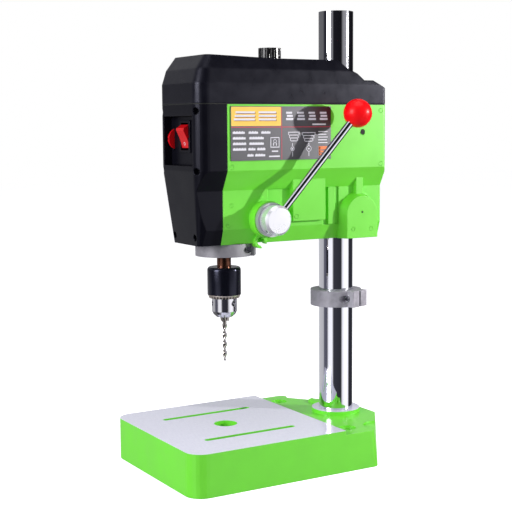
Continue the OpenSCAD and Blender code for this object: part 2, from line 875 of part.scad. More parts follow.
// Body of the front shell: upright above the shoulder, leaning in below it
module shell_body(inset) {
  intersection() {
    prism_y(head_profile(inset, seat_z + (inset > 0 ? over : 0)), inset - head_front,
      over - shell_joint);
    union() {
      prism(head_plan(inset), shoulder_z - slab, seat_z + over);
      hull() {
        prism(head_plan(inset), shoulder_z - slab, shoulder_z);
        prism(rounded(both_sides([
          [shell_foot_half - inset, shell_foot_y + inset, head_wall],
          [waist_half - inset, shell_foot_y + shell_side_run, head_wall],
          [waist_half - inset, 0, 0]
        ])), head_z, head_z + slab);
      }
    }
  }
}

// Frame round the switch recess
module recess_frame() {
  half_w = recess_half_w + recess_rim;
  block([-half_w, -head_front, recess_z - recess_rim],
    [half_w, recess_back + ledge, recess_z + recess_h + recess_rim]);
}

module recess_cut() {
  block([-recess_half_w, -head_w, recess_z], [recess_half_w, recess_back, recess_z + recess_h]);
  block([ledge - recess_half_w, -head_w, recess_z + ledge],
    [recess_half_w - ledge, recess_back + 2 * ledge, recess_z + recess_h - ledge]);
}

module front_shell() {
  color([0.17, 0.17, 0.2]) placed() difference() {
    union() {
      difference() {
        shell_body(0);
        shell_body(shell_t);
      }
      intersection() {
        shell_body(0);
        union() {
          both_x() for (at = shell_screws_at)
            bar_y(-head_front, -shell_joint, at[0], at[2], shell_post_r);
          recess_frame();
          both_x() bar_y(-head_front, board_y, standoff_x, waist_z + board_gap, shell_t);
        }
      }
    }
    block([-head_w, -shell_joint, head_z - over], [head_w, head_w, cover_top]);
    translate([0, 0, head_z - over]) cylinder(r = guide_r + air, h = body_h + 2 * over);
    recess_cut();
    both_x() for (at = shell_screws_at) {
      bar_y(-head_w, 0, at[0], at[2], shell_screw_r + air);
      bar_y(-head_w, at[1], at[0], at[2], shell_screw_r * head_r_share + air);
    }
  }
}

module shell_screws() {
  color([0.12, 0.12, 0.13]) placed() both_x() for (at = shell_screws_at)
    translate(at) rotate([90, 0, 0]) cap_screw(shell_screw_r, shell_screw_l);
}

label_inset = 3.5;
label_rise = 10;

module label_plate() {
  low = [head_half, label_inset - shell_joint, shoulder_z + label_rise];
  color([0.4, 0.38, 0.42]) placed() block(low, low + [label_t, label_l, label_h]);
}

// Switch group
rocker_out = 1.5;
rocker_valley = 0.5;
body_side = 2.4;
body_end = 2.8;
body_wall = 1.2;
switch_rim = 1.5;
switch_depth = 13;
rocker_pin_r = 1.5;
rocker_pin_l = 1.2;
dial_side = 28.5;
dial_gap = 1.5;
dial_sink_share = 0.43;
dial_drop = 2.5;
dial_shaft_r = 1.5;
dial_notch = 0.6;
control_half = 6;
control_t = 6.5;
rocker_y = recess_y - rocker_out;
body_half_w = rocker_w / 2 + body_side;
body_half_h = rocker_h / 2 + body_end;
dial_x = dial_w - dial_side;
dial_y = recess_y + dial_r * dial_sink_share;
dial_z = switch_z - dial_drop;
control_x = dial_x + dial_gap;

module switch_plate() {
  color([0.22, 0.22, 0.25]) placed() difference() {
    block([seat_fit - recess_half_w, recess_y, recess_z + seat_fit],
      [recess_half_w - seat_fit, recess_back, recess_z + recess_h - seat_fit]);
    block([-body_half_w - seat_fit, recess_y - over, switch_z - body_half_h - seat_fit],
      [body_half_w + seat_fit, recess_back + over, switch_z + body_half_h + seat_fit]);
    block([-dial_side - air, recess_y - over, dial_z - dial_r - air],
      [dial_x + air, recess_back + over, dial_z + dial_r + air]);
  }
}

module switch_body() {
  open_h = body_half_h - body_wall;
  color([0.1, 0.1, 0.11]) placed() difference() {
    union() {
      block([-body_half_w, recess_y, switch_z - body_half_h],
        [body_half_w, recess_y + switch_depth, switch_z + body_half_h]);
      block([-body_half_w - switch_rim, recess_y - switch_rim, switch_z - body_half_h - switch_rim],
        [body_half_w + switch_rim, recess_y, switch_z + body_half_h + switch_rim]);
    }
    block([-rocker_w / 2 - air, recess_y - 2 * switch_rim, switch_z - open_h],
      [rocker_w / 2 + air, recess_y + switch_depth - body_wall, switch_z + open_h]);
    bar_x(-rocker_w / 2 - rocker_pin_l - air, rocker_w / 2 + rocker_pin_l + air, rocker_y, switch_z,
      rocker_pin_r + run_fit);
  }
}

// Rocker: two faces that meet in a shallow valley, turning on pins at its sides, at rest in OFF
rocker_back_shares = [[0.12, 0.97], [0.45, 0.45], [0.62, 0]];

module rocker() {
  half = rocker_h / 2;
  lean = rocker_swing / 2;
  lip = rocker_valley + half * tan(lean);
  back = [for (share = rocker_back_shares) half * share];
  color([0.86, 0.08, 0.1]) placed() translate([0, rocker_y, switch_z]) {
    rotate([lean, 0, 0]) prism_x([
      [-rocker_valley, 0], [-lip, -half], [back[0][0], -back[0][1]], [back[1][0], -back[1][1]],
      back[2], back[1], back[0], [-lip, half]
    ], -rocker_w / 2, rocker_w / 2);
    bar_x(-rocker_w / 2 - rocker_pin_l, rocker_w / 2 + rocker_pin_l, 0, 0, rocker_pin_r);
  }
}

module speed_dial() {
  color([0.86, 0.08, 0.1]) placed() difference() {
    union() {
      bar_x(-dial_side, dial_x, dial_y, dial_z, dial_r);
      bar_x(dial_x, control_x + control_t - body_wall, dial_y, dial_z, dial_shaft_r);
    }
    block([-dial_side - over, dial_y - dial_r - over, dial_z - dial_notch],
      [dial_x + over, dial_y - dial_r + dial_notch, dial_z + dial_notch]);
  }
}

module speed_control() {
  front = recess_back + air;
  color([0.15, 0.3, 0.5]) placed() difference() {
    block([control_x, front, dial_z - control_half],
      [control_x + control_t, front + 2 * control_half, dial_z + control_half]);
    bar_x(control_x - over, control_x + control_t - body_wall / 2, dial_y, dial_z,
      dial_shaft_r + run_fit);
  }
}

board_foot = 6;
board_rise = 10;
capacitor_r = 5;
capacitor_l = 7.5;
heatsink_w = 14;

module control_board() {
  low_z = waist_z - board_foot;
  color([0.1, 0.35, 0.2]) placed() {
    block([-board_half_w, board_y, low_z], [board_half_w, board_y + board_t, recess_z + board_rise]);
    bar_y(board_y - capacitor_l, board_y, -heatsink_w / 2, waist_z + 2 * board_foot, capacitor_r);
    block([0, board_y - board_foot, waist_z + board_foot],
      [heatsink_w, board_y, waist_z + board_foot + 2 * capacitor_r]);
  }
}

// Gland for the mains cord, through the rear wall
gland_bore_r = 3.5;
gland_nut_t = 3.5;
gland_nut_share = 1.35;
gland_cap_share = 0.92;

module cord_inlet() {
  inner_y = head_back - head_wall;
  color([0.1, 0.1, 0.11]) placed() difference() {
    union() {
      bar_y(inner_y - gland_nut_t, head_back + gland_nut_t, inlet_x, inlet_z, inlet_r);
      for (y = [inner_y - gland_nut_t, head_back]) translate([inlet_x, y, inlet_z])
        rotate([-90, 0, 0]) cylinder(r = inlet_r * gland_nut_share, h = gland_nut_t, $fn = 6);
      bar_y(head_back + gland_nut_t, head_back + inlet_reach, inlet_x, inlet_z,
        inlet_r * gland_cap_share);
    }
    bar_y(inner_y - 2 * gland_nut_t, head_back + inlet_reach + over, inlet_x, inlet_z, gland_bore_r);
  }
}

// Ring that clamps the slit nose of the guide tube
ring_ear_l = 3;
ring_ear_half = 6.5;
ring_screw_r = 2;
ring_screw_inset = 1.5;
ring_r = nose_r + ring_wall;
ring_z = head_z - ring_gap - ring_h;
ring_screw_x = ring_r - ring_screw_r * ring_screw_inset;
ring_seat_y = ring_screw_r * head_h_share - ring_ear_half;

module at_ring() {
  rotate([0, 0, ring_turn]) translate([0, 0, ring_z]) children();
}

module nose_ring() {
  ear_r = ring_r + ring_ear_l;
  color([0.57, 0.55, 0.58]) placed() at_ring() difference() {
    union() {
      cylinder(r = ring_r, h = ring_h);
      block([nose_r, -ring_ear_half, 0], [ear_r, ring_ear_half, ring_h]);
    }
    translate([0, 0, -over]) cylinder(r = nose_r + seat_fit, h = ring_h + 2 * over);
    block([0, -nose_slit / 2, -over], [ear_r + over, nose_slit / 2, ring_h + over]);
    bar_y(-ear_r, 0, ring_screw_x, ring_h / 2, ring_screw_r + air);
    bar_y(0, ear_r, ring_screw_x, ring_h / 2, ring_screw_r + seat_fit);
    bar_y(-ear_r, ring_seat_y, ring_screw_x, ring_h / 2, ring_screw_r * head_r_share + air);
  }
}

module nose_ring_screw() {
  color([0.75, 0.75, 0.78]) placed() at_ring()
    translate([ring_screw_x, ring_seat_y, ring_h / 2]) rotate([90, 0, 0])
      cap_screw(ring_screw_r, ring_ear_half - ring_seat_y - over);
}

// Quill and spindle
spindle_air = 2.5;
key_w = 3;
key_l = 10;
key_depth = 1.6;
key_air = 0.15;
socket_l = 16;
socket_share = 0.8;
socket_end_r = spindle_r * socket_share;

// Gaps between the teeth of the rack, cut across the back of the quill
module rack_cuts() {
  first = ceil((rack_low - pinion_z) / tooth_pitch);
  half = tooth_pitch * (1 - tooth_share) / 2;
  tip_y = rack_pitch_y + addendum;
  root_y = rack_pitch_y - dedendum;
  tip_half = half + addendum * tan(pressure_angle);
  root_half = half - dedendum * tan(pressure_angle);
  for (k = [first : first + rack_teeth - 1]) translate([0, 0, pinion_z + k * tooth_pitch])
    prism_x([[root_y, -root_half], [tip_y + over, -tip_half], [tip_y + over, tip_half],
             [root_y, root_half]], -quill_r, quill_r);
  block([-quill_r, tip_y, pinion_z + first * tooth_pitch - tooth_pitch / 2],
    [quill_r, quill_r + over, pinion_z + (first + rack_teeth) * tooth_pitch - tooth_pitch / 2]);
}

module quill() {
  seat_r = spindle_bearing[1] + seat_fit;
  color([0.75, 0.76, 0.8]) placed() difference() {
    translate([0, 0, quill_z]) cylinder(r = quill_r, h = quill_l);
    translate([0, 0, quill_z - over]) cylinder(r = spindle_r + spindle_air, h = quill_l + 2 * over);
    for (z = [quill_z - over, quill_top - spindle_race_w])
      translate([0, 0, z]) cylinder(r = seat_r, h = spindle_race_w + over);
    rack_cuts();
  }
}

module quill_bearings() {
  color([0.8, 0.8, 0.82]) placed() for (z = [quill_z, quill_top - spindle_race_w])
    translate([0, 0, z]) bearing(spindle_bearing);
}

module spindle() {
  color([0.42, 0.25, 0.16]) placed() difference() {
    union() {
      translate([0, 0, chuck_top]) cylinder(r = spindle_r, h = spindle_top - chuck_top);
      translate([0, 0, chuck_top - socket_l]) cylinder(r = socket_end_r, h = socket_l + over);
    }
    block([spindle_r - key_depth, -key_w / 2 - key_air, sleeve_low - 2 * over],
      [spindle_r + over, key_w / 2 + key_air, spindle_top + over]);
  }
}

module drive_sleeve() {
  color([0.62, 0.63, 0.66]) placed() {
    ring(spindle_r + run_fit, drive_sleeve_r, sleeve_low, pulley_top + nut_h);
    block([spindle_r - key_depth + key_air, -key_w / 2, sleeve_low],
      [drive_sleeve_r - sleeve_wall / 2, key_w / 2, sleeve_low + key_l]);
  }
}

module sleeve_bearings() {
  color([0.8, 0.8, 0.82]) placed() for (k = [1, 2])
    translate([0, 0, deck_top - k * sleeve_race_w]) bearing(sleeve_bearing);
}

// Belt drive
function spindle_step(i) = step_r - i * step_change;
function motor_step(i) = motor_step_r + i * step_change;

// Stepped pulley with a flat-bottomed groove in each step; radii lists the pitch radii
module stepped_pulley(radii, bore) {
  flange = (step_h - belt_w) / 2 - air;
  difference() {
    union() {
      for (i = [0 : pulley_steps - 1]) translate([0, 0, pulley_z + i * step_h]) difference() {
        cylinder(r = radii[i] + rim, h = step_h);
        ring(radii[i] - belt_t / 2 - air, radii[i] + belt_t, flange, step_h - flange);
      }
      translate([0, 0, pulley_z])
        cylinder(r = min(radii) - belt_t / 2 - rim, h = pulley_steps * step_h);
    }
    translate([0, 0, pulley_z - over]) cylinder(r = bore, h = pulley_steps * step_h + 2 * over);
  }
}

module spindle_pulley() {
  color([0.7, 0.71, 0.74]) placed()
    stepped_pulley([for (i = [0 : pulley_steps - 1]) spindle_step(i)], drive_sleeve_r + seat_fit);
}

module motor_pulley() {
  color([0.7, 0.71, 0.74]) placed() at_motor()
    stepped_pulley([for (i = [0 : pulley_steps - 1]) motor_step(i)], motor_shaft_r + seat_fit);
}

module pulley_nut() {
  nut_r = drive_sleeve_r + nut_h;
  color([0.3, 0.3, 0.32]) placed() difference() {
    translate([0, 0, pulley_top]) cylinder(r = nut_r, h = nut_h, $fn = 6);
    translate([0, 0, pulley_top - over]) cylinder(r = drive_sleeve_r + seat_fit, h = nut_h + 2 * over);
  }
}

// Outline of the belt, grown by half its thickness outwards or inwards
function belt_outline(grow) =
  let (large = spindle_step(belt_step), small = motor_step(belt_step),
       wrap = acos((large - small) / motor_y), steps = 4 * arc_steps)
  concat(
    [for (k = [0 : steps]) let (a = 90 + wrap + (360 - 2 * wrap) * k / steps)
      (large + grow) * [cos(a), sin(a)]],
    [for (k = [0 : steps]) let (a = 90 - wrap + 2 * wrap * k / steps)
      [0, motor_y] + (small + grow) * [cos(a), sin(a)]]);

module drive_belt() {
  color([0.08, 0.08, 0.09]) placed() difference() {
    prism(belt_outline(belt_t / 2), belt_z - belt_w / 2, belt_z + belt_w / 2);
    prism(belt_outline(-belt_t / 2), belt_z - belt_w, belt_z + belt_w);
  }
}

// Motor, hung under the deck
bell_h = 14;
bell_wall = 3;
can_wall = 2.5;
field_t = 8;
field_share = 0.42;
rotor_gap = 0.5;
slot_count = 12;
slot_open = 2.2;
slot_deep = 5;
fan_blades = 9;
fan_blade_t = 1.5;
fan_h = 8;
commutator_r = 8;
commutator_h = 8;
commutator_bars = 16;
brush_w = 5;
brush_l = 8;
brush_gap = 0.3;
shaft_end = 2;
stack_h = motor_l * field_share;
stack_z = motor_bottom + (motor_l - stack_h) / 2;
rotor_r = motor_r - can_wall - field_t - rotor_gap;
fan_r = motor_r - can_wall - 2 * over;
fan_z = motor_top - bell_h - fan_h;
commutator_z = motor_bottom + bell_h + over;
brush_z = commutator_z + (commutator_h - brush_w) / 2;

module motor_bell(low, seat_low) {
  difference() {
    translate([0, 0, low]) cylinder(r = motor_r, h = bell_h);
    translate([0, 0, seat_low]) cylinder(r = motor_bearing[1] + seat_fit, h = motor_race_w);
    children();
  }
}

module motor_top_bell() {
  low = motor_top - bell_h;
  seat = motor_top - bell_wall - motor_race_w;
  color([0.62, 0.63, 0.66]) placed() at_motor() motor_bell(low, seat) {
    translate([0, 0, low - over]) cylinder(r = motor_bearing[1] - bearing_lip / 2, h = bell_h);
    translate([0, 0, low - over]) cylinder(r = motor_shaft_r + bearing_lip, h = bell_h + 2 * over);
    for (side = [-1, 1]) translate([side * motor_screw_x, 0, low + bell_wall])
      cylinder(r = motor_screw_r + seat_fit, h = bell_h);
  }
}

module motor_bottom_bell() {
  seat = motor_bottom + bell_wall;
  holder_z = brush_z - air;
  color([0.62, 0.63, 0.66]) placed() at_motor() {
    motor_bell(motor_bottom, seat) translate([0, 0, seat])
      cylinder(r = motor_bearing[1] - bearing_lip / 2, h = bell_h);
    both_x() block([commutator_r + brush_gap + over, -brush_w / 2, motor_bottom + bell_h - over],
      [commutator_r + brush_gap + brush_l, brush_w / 2, holder_z]);
  }
}

module motor_bearings() {
  color([0.8, 0.8, 0.82]) placed() at_motor()
    for (z = [motor_bottom + bell_wall, motor_top - bell_wall - motor_race_w])
      translate([0, 0, z]) bearing(motor_bearing);
}

module motor_can() {
  color([0.45, 0.46, 0.49]) placed() at_motor()
    ring(motor_r - can_wall, motor_r, motor_bottom + bell_h, motor_top - bell_h);
}

module motor_field() {
  color([0.5, 0.3, 0.2]) placed() at_motor()
    ring(rotor_r + rotor_gap, motor_r - can_wall - seat_fit, stack_z, stack_z + stack_h);
}

module motor_shaft() {
  color([0.75, 0.76, 0.8]) placed() at_motor()
    translate([0, 0, motor_bottom + bell_wall + air])
      cylinder(r = motor_shaft_r, h = pulley_top + shaft_end - motor_bottom - bell_wall);
}

module motor_core() {
  color([0.6, 0.35, 0.2]) placed() at_motor() difference() {
    translate([0, 0, stack_z]) cylinder(r = rotor_r, h = stack_h);
    translate([0, 0, stack_z - over]) cylinder(r = motor_shaft_r + seat_fit, h = stack_h + 2 * over);
    for (i = [0 : slot_count - 1]) rotate([0, 0, i * 360 / slot_count])
      block([rotor_r - slot_deep, -slot_open / 2, stack_z - over],
        [rotor_r + over, slot_open / 2, stack_z + stack_h + over]);
  }
}

module motor_fan() {
  hub = 2 * motor_shaft_r;
  color([0.1, 0.1, 0.11]) placed() at_motor() difference() {
    union() {
      translate([0, 0, fan_z]) cylinder(r = hub, h = fan_h - over);
      translate([0, 0, fan_z]) cylinder(r = fan_r, h = fan_blade_t);
      for (i = [0 : fan_blades - 1]) rotate([0, 0, i * 360 / fan_blades])
        block([hub - over, -fan_blade_t / 2, fan_z],
          [fan_r - over, fan_blade_t / 2, fan_z + fan_h - over]);
    }
    translate([0, 0, fan_z - over]) cylinder(r = motor_shaft_r + seat_fit, h = fan_h + 2 * over);
  }
}

module commutator() {
  bar_slit = slot_open / 4;
  color([0.72, 0.42, 0.2]) placed() at_motor() difference() {
    ring(motor_shaft_r + seat_fit, commutator_r, commutator_z, commutator_z + commutator_h);
    for (i = [0 : commutator_bars - 1]) rotate([0, 0, i * 360 / commutator_bars])
      block([commutator_r - over, -bar_slit / 2, commutator_z - over],
        [commutator_r + over, bar_slit / 2, commutator_z + commutator_h + over]);
  }
}

module motor_brushes() {
  color([0.12, 0.12, 0.12]) placed() at_motor() both_x()
    block([commutator_r + brush_gap, -brush_w / 2, brush_z],
      [commutator_r + brush_gap + brush_l, brush_w / 2, brush_z + brush_w]);
}

module motor_screws() {
  color([0.2, 0.2, 0.22]) placed() at_motor() for (side = [-1, 1])
    translate([side * motor_screw_x, 0, deck_top])
      cap_screw(motor_screw_r, deck_t + bell_h - bell_wall - over);
}

// Belt cover: heights and depths of its stepped tail, as shares of its height and of its run
cover_tail_shares = [[0, 1], [0.17, 0.81], [0.37, 0.7], [0.51, 0.55], [0.71, 0.55], [1, 0.36]];
column_air = 1.5;
cover_rise = 3;
knob_flat_share = 1.5;
// Lean and height of the leaning sides between the skirt and the top, as shares of the whole
cover_lean_shares = [[0.3, 0.5], [1, 1]];
knob_ribs = 14;
knob_rib_r = 1.2;
knob_foot = 4;

// Outline of the cover in Y and Z, drawn in by inset
function cover_side(inset) =
  let (run = head_back - cover_ridge)
  concat([[-head_w, seat_z - (inset > 0 ? over : 0)], [-head_w, cover_top + cover_rise - inset],
      [-head_front, cover_top + cover_rise - inset],
      [knob_y - knob_r * knob_flat_share, cover_top - inset]],
    [for (at = cover_tail_shares)
      [cover_ridge + run * at[0] - inset * at[0], seat_z + cover_h * at[1] - inset]],
    [[head_back - inset, seat_z - (inset > 0 ? over : 0)]]);

// Solid of the cover: an upright skirt below leaning sides
module cover_body(inset) {
  intersection() {
    prism_x(cover_side(inset), -head_w, head_w);
    hull() {
      prism(head_plan(inset), seat_z - over, seat_z + skirt_h);
      for (at = cover_lean_shares)
        let (half = head_half - at[0] * cover_side_lean - inset,
             z = seat_z + skirt_h + at[1] * (cover_h + cover_rise - skirt_h))
        prism(rounded(both_sides([
          [half, at[0] * cover_front_lean + inset - head_front, head_corner_r * (1 - at[0] / 2)],
          [half, head_back - inset, head_rear_r]
        ])), z, z + slab);
    }
  }
}

module top_cover() {
  color([0.17, 0.17, 0.2]) placed() difference() {
    cover_body(0);
    cover_body(cover_wall);
    block([-head_w, -head_w, seat_z - 2 * over], [head_w, head_back + head_w, seat_z + run_fit]);
    at_column() translate([0, 0, seat_z]) cylinder(r = column_r + column_air, h = 2 * cover_h);
    translate([0, knob_y, seat_z]) cylinder(r = knob_screw_r + air, h = 2 * cover_h);
  }
}

module cover_knob() {
  knob_z = cover_top + run_fit;
  foot_z = deck_top + knob_foot;
  color([0.08, 0.08, 0.09]) placed() translate([0, knob_y, 0]) {
    difference() {
      translate([0, 0, knob_z]) cylinder(r = knob_r, h = knob_h);
      for (i = [0 : knob_ribs - 1]) rotate([0, 0, i * 360 / knob_ribs])
        translate([knob_r, 0, knob_z + knob_rib_r])
          cylinder(r = knob_rib_r, h = knob_h, $fn = small_fn);
    }
    translate([0, 0, foot_z]) cylinder(r = knob_screw_r, h = knob_z + over - foot_z);
  }
}

// Feed shaft and lever
spring_cup_r = 23;
spring_cup_wall = 2;
spring_cup_l = 16;
cup_lap = 4;
spring_turns = 5;
spring_strip = 0.6;
spring_w = 8;
spring_inner = 6.8;
spring_edge = 0.3;
hub_floor = 3;
hub_screw_r = 2.5;
rod_start = 7;
ball_socket = 12;
shaft_left = -flange_face - spring_cup_l + cup_lap + 2 * spring_cup_wall;

// Straight-sided tooth of the pinion, centred on +X
module pinion_tooth() {
  half = tooth_pitch * tooth_share / 2;
  root = pinion_pitch_r - dedendum;
  tip_half = half - addendum * tan(pressure_angle);
  root_half = half + dedendum * tan(pressure_angle);
  polygon([[root - over, -root_half], [root, -root_half], [pinion_tip_r, -tip_half],
           [pinion_tip_r, tip_half], [root, root_half], [root - over, root_half]]);
}

module at_pinion(x) {
  translate([x, pinion_y, pinion_z]) rotate([0, 90, 0]) children();
}

module pinion_shaft() {
  color([0.66, 0.67, 0.7]) placed() {
    bar_x(shaft_left, hub_face - hub_floor - air, pinion_y, pinion_z, pinion_shaft_r);
    at_pinion(-pinion_half_l) linear_extrude(2 * pinion_half_l) {
      circle(r = pinion_pitch_r - dedendum);
      for (i = [0 : pinion_teeth - 1]) rotate(90 + i * 360 / pinion_teeth) pinion_tooth();
    }
  }
}

module pinion_bushes() {
  color([0.6, 0.6, 0.63]) placed() both_x() difference() {
    union() {
      bar_x(pinion_bush_in, flange_face, pinion_y, pinion_z, pinion_bush_r);
      bar_x(boss_face, flange_face, pinion_y, pinion_z, flange_r);
    }
    bar_x(pinion_bush_in - over, flange_face + over, pinion_y, pinion_z, pinion_shaft_r + run_fit);
  }
}

// Axis of the lever, with +Z along the rod
module at_lever() {
  translate([lever_x, pinion_y, pinion_z]) rotate([lever_angle - 90, 0, 0])
    rotate([0, lever_tilt, 0]) children();
}

module feed_hub() {
  color([0.85, 0.85, 0.88]) placed() difference() {
    union() {
      bar_x(hub_back, hub_face - hub_bevel, pinion_y, pinion_z, hub_r);
      at_pinion(hub_face - hub_bevel) cylinder(r1 = hub_r, r2 = hub_r - hub_bevel, h = hub_bevel);
    }
    bar_x(hub_back - over, hub_face - hub_floor, pinion_y, pinion_z, pinion_shaft_r + seat_fit);
    at_lever() cylinder(r = lever_rod_r + seat_fit, h = 2 * hub_r);
    at_lever() rotate([0, -lever_tilt, 0]) translate([0, 0, -2 * hub_r])
      cylinder(r = hub_screw_r + seat_fit, h = 2 * hub_r);
  }
}

module hub_screw() {
  length = hub_r - pinion_shaft_r - over;
  color([0.15, 0.15, 0.16]) placed() at_lever() rotate([0, -lever_tilt, 0])
    translate([0, 0, -pinion_shaft_r - seat_fit - length]) difference() {
      cylinder(r = hub_screw_r, h = length);
      translate([0, 0, -over]) cylinder(r = hub_screw_r / 2, h = hub_screw_r + over, $fn = 6);
    }
}

module lever_rod() {
  color([0.82, 0.83, 0.86]) placed() at_lever() translate([0, 0, rod_start])
    cylinder(r = lever_rod_r, h = lever_l - rod_start);
}

module ball_knob() {
  color([0.93, 0.08, 0.12]) placed() at_lever() difference() {
    translate([0, 0, lever_l]) sphere(r = ball_r);
    translate([0, 0, lever_l - ball_r - over])
      cylinder(r = lever_rod_r + seat_fit, h = ball_socket + over + lever_rod_r);
    translate([-ball_r, -ball_r, lever_l - ball_r - over])
      cube([2 * ball_r, 2 * ball_r, 2 * over]);
  }
}

module spring_cup() {
  mouth = -flange_face + cup_lap;
  floor_x = mouth - spring_cup_l;
  color([0.1, 0.1, 0.11]) placed() difference() {
    bar_x(floor_x, mouth, pinion_y, pinion_z, spring_cup_r);
    bar_x(floor_x + spring_cup_wall, -flange_face, pinion_y, pinion_z, spring_cup_r - spring_cup_wall);
    bar_x(-flange_face - over, mouth + over, pinion_y, pinion_z, flange_r + seat_fit);
  }
}

// Flat spiral spring in the cup
module return_spring() {
  outer = spring_cup_r - spring_cup_wall - spring_edge - spring_strip;
  steps = spring_turns * 3 * arc_steps;
  line = [for (k = [0 : steps]) [spring_inner + (outer - spring_inner) * k / steps,
                                 360 * spring_turns * k / steps]];
  color([0.35, 0.36, 0.4]) placed() at_pinion(-flange_face - spring_w - spring_cup_wall)
    linear_extrude(spring_w) polygon(concat(
      [for (at = line) at[0] * [cos(at[1]), sin(at[1])]],
      [for (k = [steps : -1 : 0]) (line[k][0] + spring_strip) * [cos(line[k][1]), sin(line[k][1])]]));
}

// Chuck
chuck_tip_r = 8.8;
chuck_cone_share = 0.6;
chuck_shoulder_share = 0.7;
chuck_capacity_r = 5.15;
chuck_cap_r = 15;
chuck_cap_h = 2.4;
sleeve_bevel = 1.2;
sleeve_bevel_h = 3;
crown_inset = 0.4;
tooth_count = 30;
tooth_fill_share = 0.5;
key_hole_r = 2.8;
key_hole_depth = 5;
key_hole_drop = 5.2;
jaw_out = 5;
jaw_l = 24;
jaw_axis_r = 3.1;
jaw_gap = 0.25;
jaw_room = 4;
chuck_turn = -42;

// Axis of one jaw, with +Z up along its lean and its origin in the plane of the nose
module at_jaw(i) {
  rotate([0, 0, chuck_turn + 120 * i]) translate([jaw_axis_r, 0, chuck_nose_z])
    rotate([0, jaw_lean, 0]) children();
}

module chuck_body() {
  cone_h = chuck_nose_l * chuck_cone_share / 2;
  shoulder_r = chuck_tip_r + (chuck_r - chuck_tip_r) * chuck_shoulder_share;
  bore_top = chuck_top - socket_l - over;
  color([0.82, 0.83, 0.86]) placed() difference() {
    union() {
      translate([0, 0, chuck_nose_z + cone_h])
        cylinder(r = chuck_r, h = chuck_top - chuck_nose_z - cone_h);
      translate([0, 0, chuck_nose_z]) cylinder(r1 = chuck_tip_r, r2 = shoulder_r, h = cone_h / 2);
      translate([0, 0, chuck_nose_z + cone_h / 2])
        cylinder(r1 = shoulder_r, r2 = chuck_r, h = cone_h / 2);
      translate([0, 0, chuck_top - chuck_cap_h]) cylinder(r = chuck_cap_r, h = chuck_cap_h);
    }
    translate([0, 0, chuck_top - socket_l])
      cylinder(r = socket_end_r + seat_fit, h = socket_l + over);
    translate([0, 0, chuck_nose_z - over])
      cylinder(r = chuck_capacity_r, h = bore_top - chuck_nose_z);
    for (i = [0 : 2]) {
      at_jaw(i) translate([0, 0, -jaw_out])
        cylinder(r = jaw_r + run_fit, h = jaw_l + jaw_travel + jaw_room);
      rotate([0, 0, chuck_turn + 60 + 120 * i])
        bar_x(chuck_r - key_hole_depth, chuck_r + over, 0, crown_z - key_hole_drop, key_hole_r);
    }
  }
}

module chuck_sleeve() {
  ring_r = sleeve_r - crown_inset;
  notch = PI * ring_r * (1 - tooth_fill_share) / tooth_count;
  color([0.1, 0.1, 0.11]) placed() difference() {
    union() {
      translate([0, 0, sleeve_z]) cylinder(r = sleeve_r, h = sleeve_l - sleeve_bevel_h);
      translate([0, 0, chuck_top - sleeve_bevel_h])
        cylinder(r1 = sleeve_r, r2 = sleeve_r - sleeve_bevel, h = sleeve_bevel_h);
      translate([0, 0, crown_z]) cylinder(r = ring_r, h = crown_h + over);
    }
    translate([0, 0, crown_z - over]) cylinder(r = chuck_r + run_fit, h = sleeve_l + 2 * crown_h);
    translate([0, 0, chuck_top - chuck_cap_h - air]) cylinder(r = chuck_cap_r + air, h = sleeve_l);
    for (i = [0 : tooth_count - 1]) rotate([0, 0, i * 360 / tooth_count])
      block([(chuck_r + ring_r) / 2, -notch, crown_z - over],
        [sleeve_r + over, notch, crown_z + crown_h / 2]);
  }
}

// Jaw: an inclined pin cut flat where it meets the bit and where it meets its neighbours
module jaw(i) {
  color([0.6, 0.6, 0.63]) placed() intersection() {
    at_jaw(i) translate([0, 0, -jaw_out]) cylinder(r = jaw_r, h = jaw_l);
    rotate([0, 0, chuck_turn + 120 * i]) prism([
      [bit_r + run_fit, -bit_r * tan(60) + jaw_gap], [2 * chuck_r, -2 * chuck_r * tan(60) + jaw_gap],
      [2 * chuck_r, 2 * chuck_r * tan(60) - jaw_gap], [bit_r + run_fit, bit_r * tan(60) - jaw_gap]
    ], chuck_nose_z - 2 * jaw_out, chuck_top);
  }
}

module jaw_1() {
  jaw(0);
}

module jaw_2() {
  jaw(1);
}

module jaw_3() {
  jaw(2);
}

// Twist drill: a plain shank and a fluted body with a tapered point
bit_flute_l = 38;
bit_shank_l = 34;
bit_turns = 3.2;
bit_web_share = 0.3;
bit_slices = 48;
bit_fn = 12;
point_angle = 59;
point_share = 0.15;
point_h = bit_r / tan(point_angle);

// Cross-section of the flutes: two hollows cut from opposite sides
module bit_section() {
  flute_r = bit_r * (1 - bit_web_share) / 2 + bit_r / 4;
  difference() {
    circle(r = bit_r, $fn = bit_fn);
    for (side = [-1, 1]) translate([side * (bit_r * bit_web_share + flute_r), 0])
      circle(r = flute_r, $fn = bit_fn);
  }
}

module drill_bit() {
  flute_top = bit_tip_z + bit_flute_l;
  color([0.6, 0.6, 0.62]) placed() {
    translate([0, 0, flute_top - over])
      cylinder(r = bit_r, h = chuck_nose_z + bit_shank_l + over - flute_top, $fn = small_fn);
    translate([0, 0, bit_tip_z + point_h]) linear_extrude(height = bit_flute_l - point_h,
      twist = -360 * bit_turns, slices = bit_slices, $fn = bit_fn) bit_section();
    translate([0, 0, bit_tip_z + point_h]) mirror([0, 0, 1])
      linear_extrude(height = point_h, scale = point_share) bit_section();
  }
}

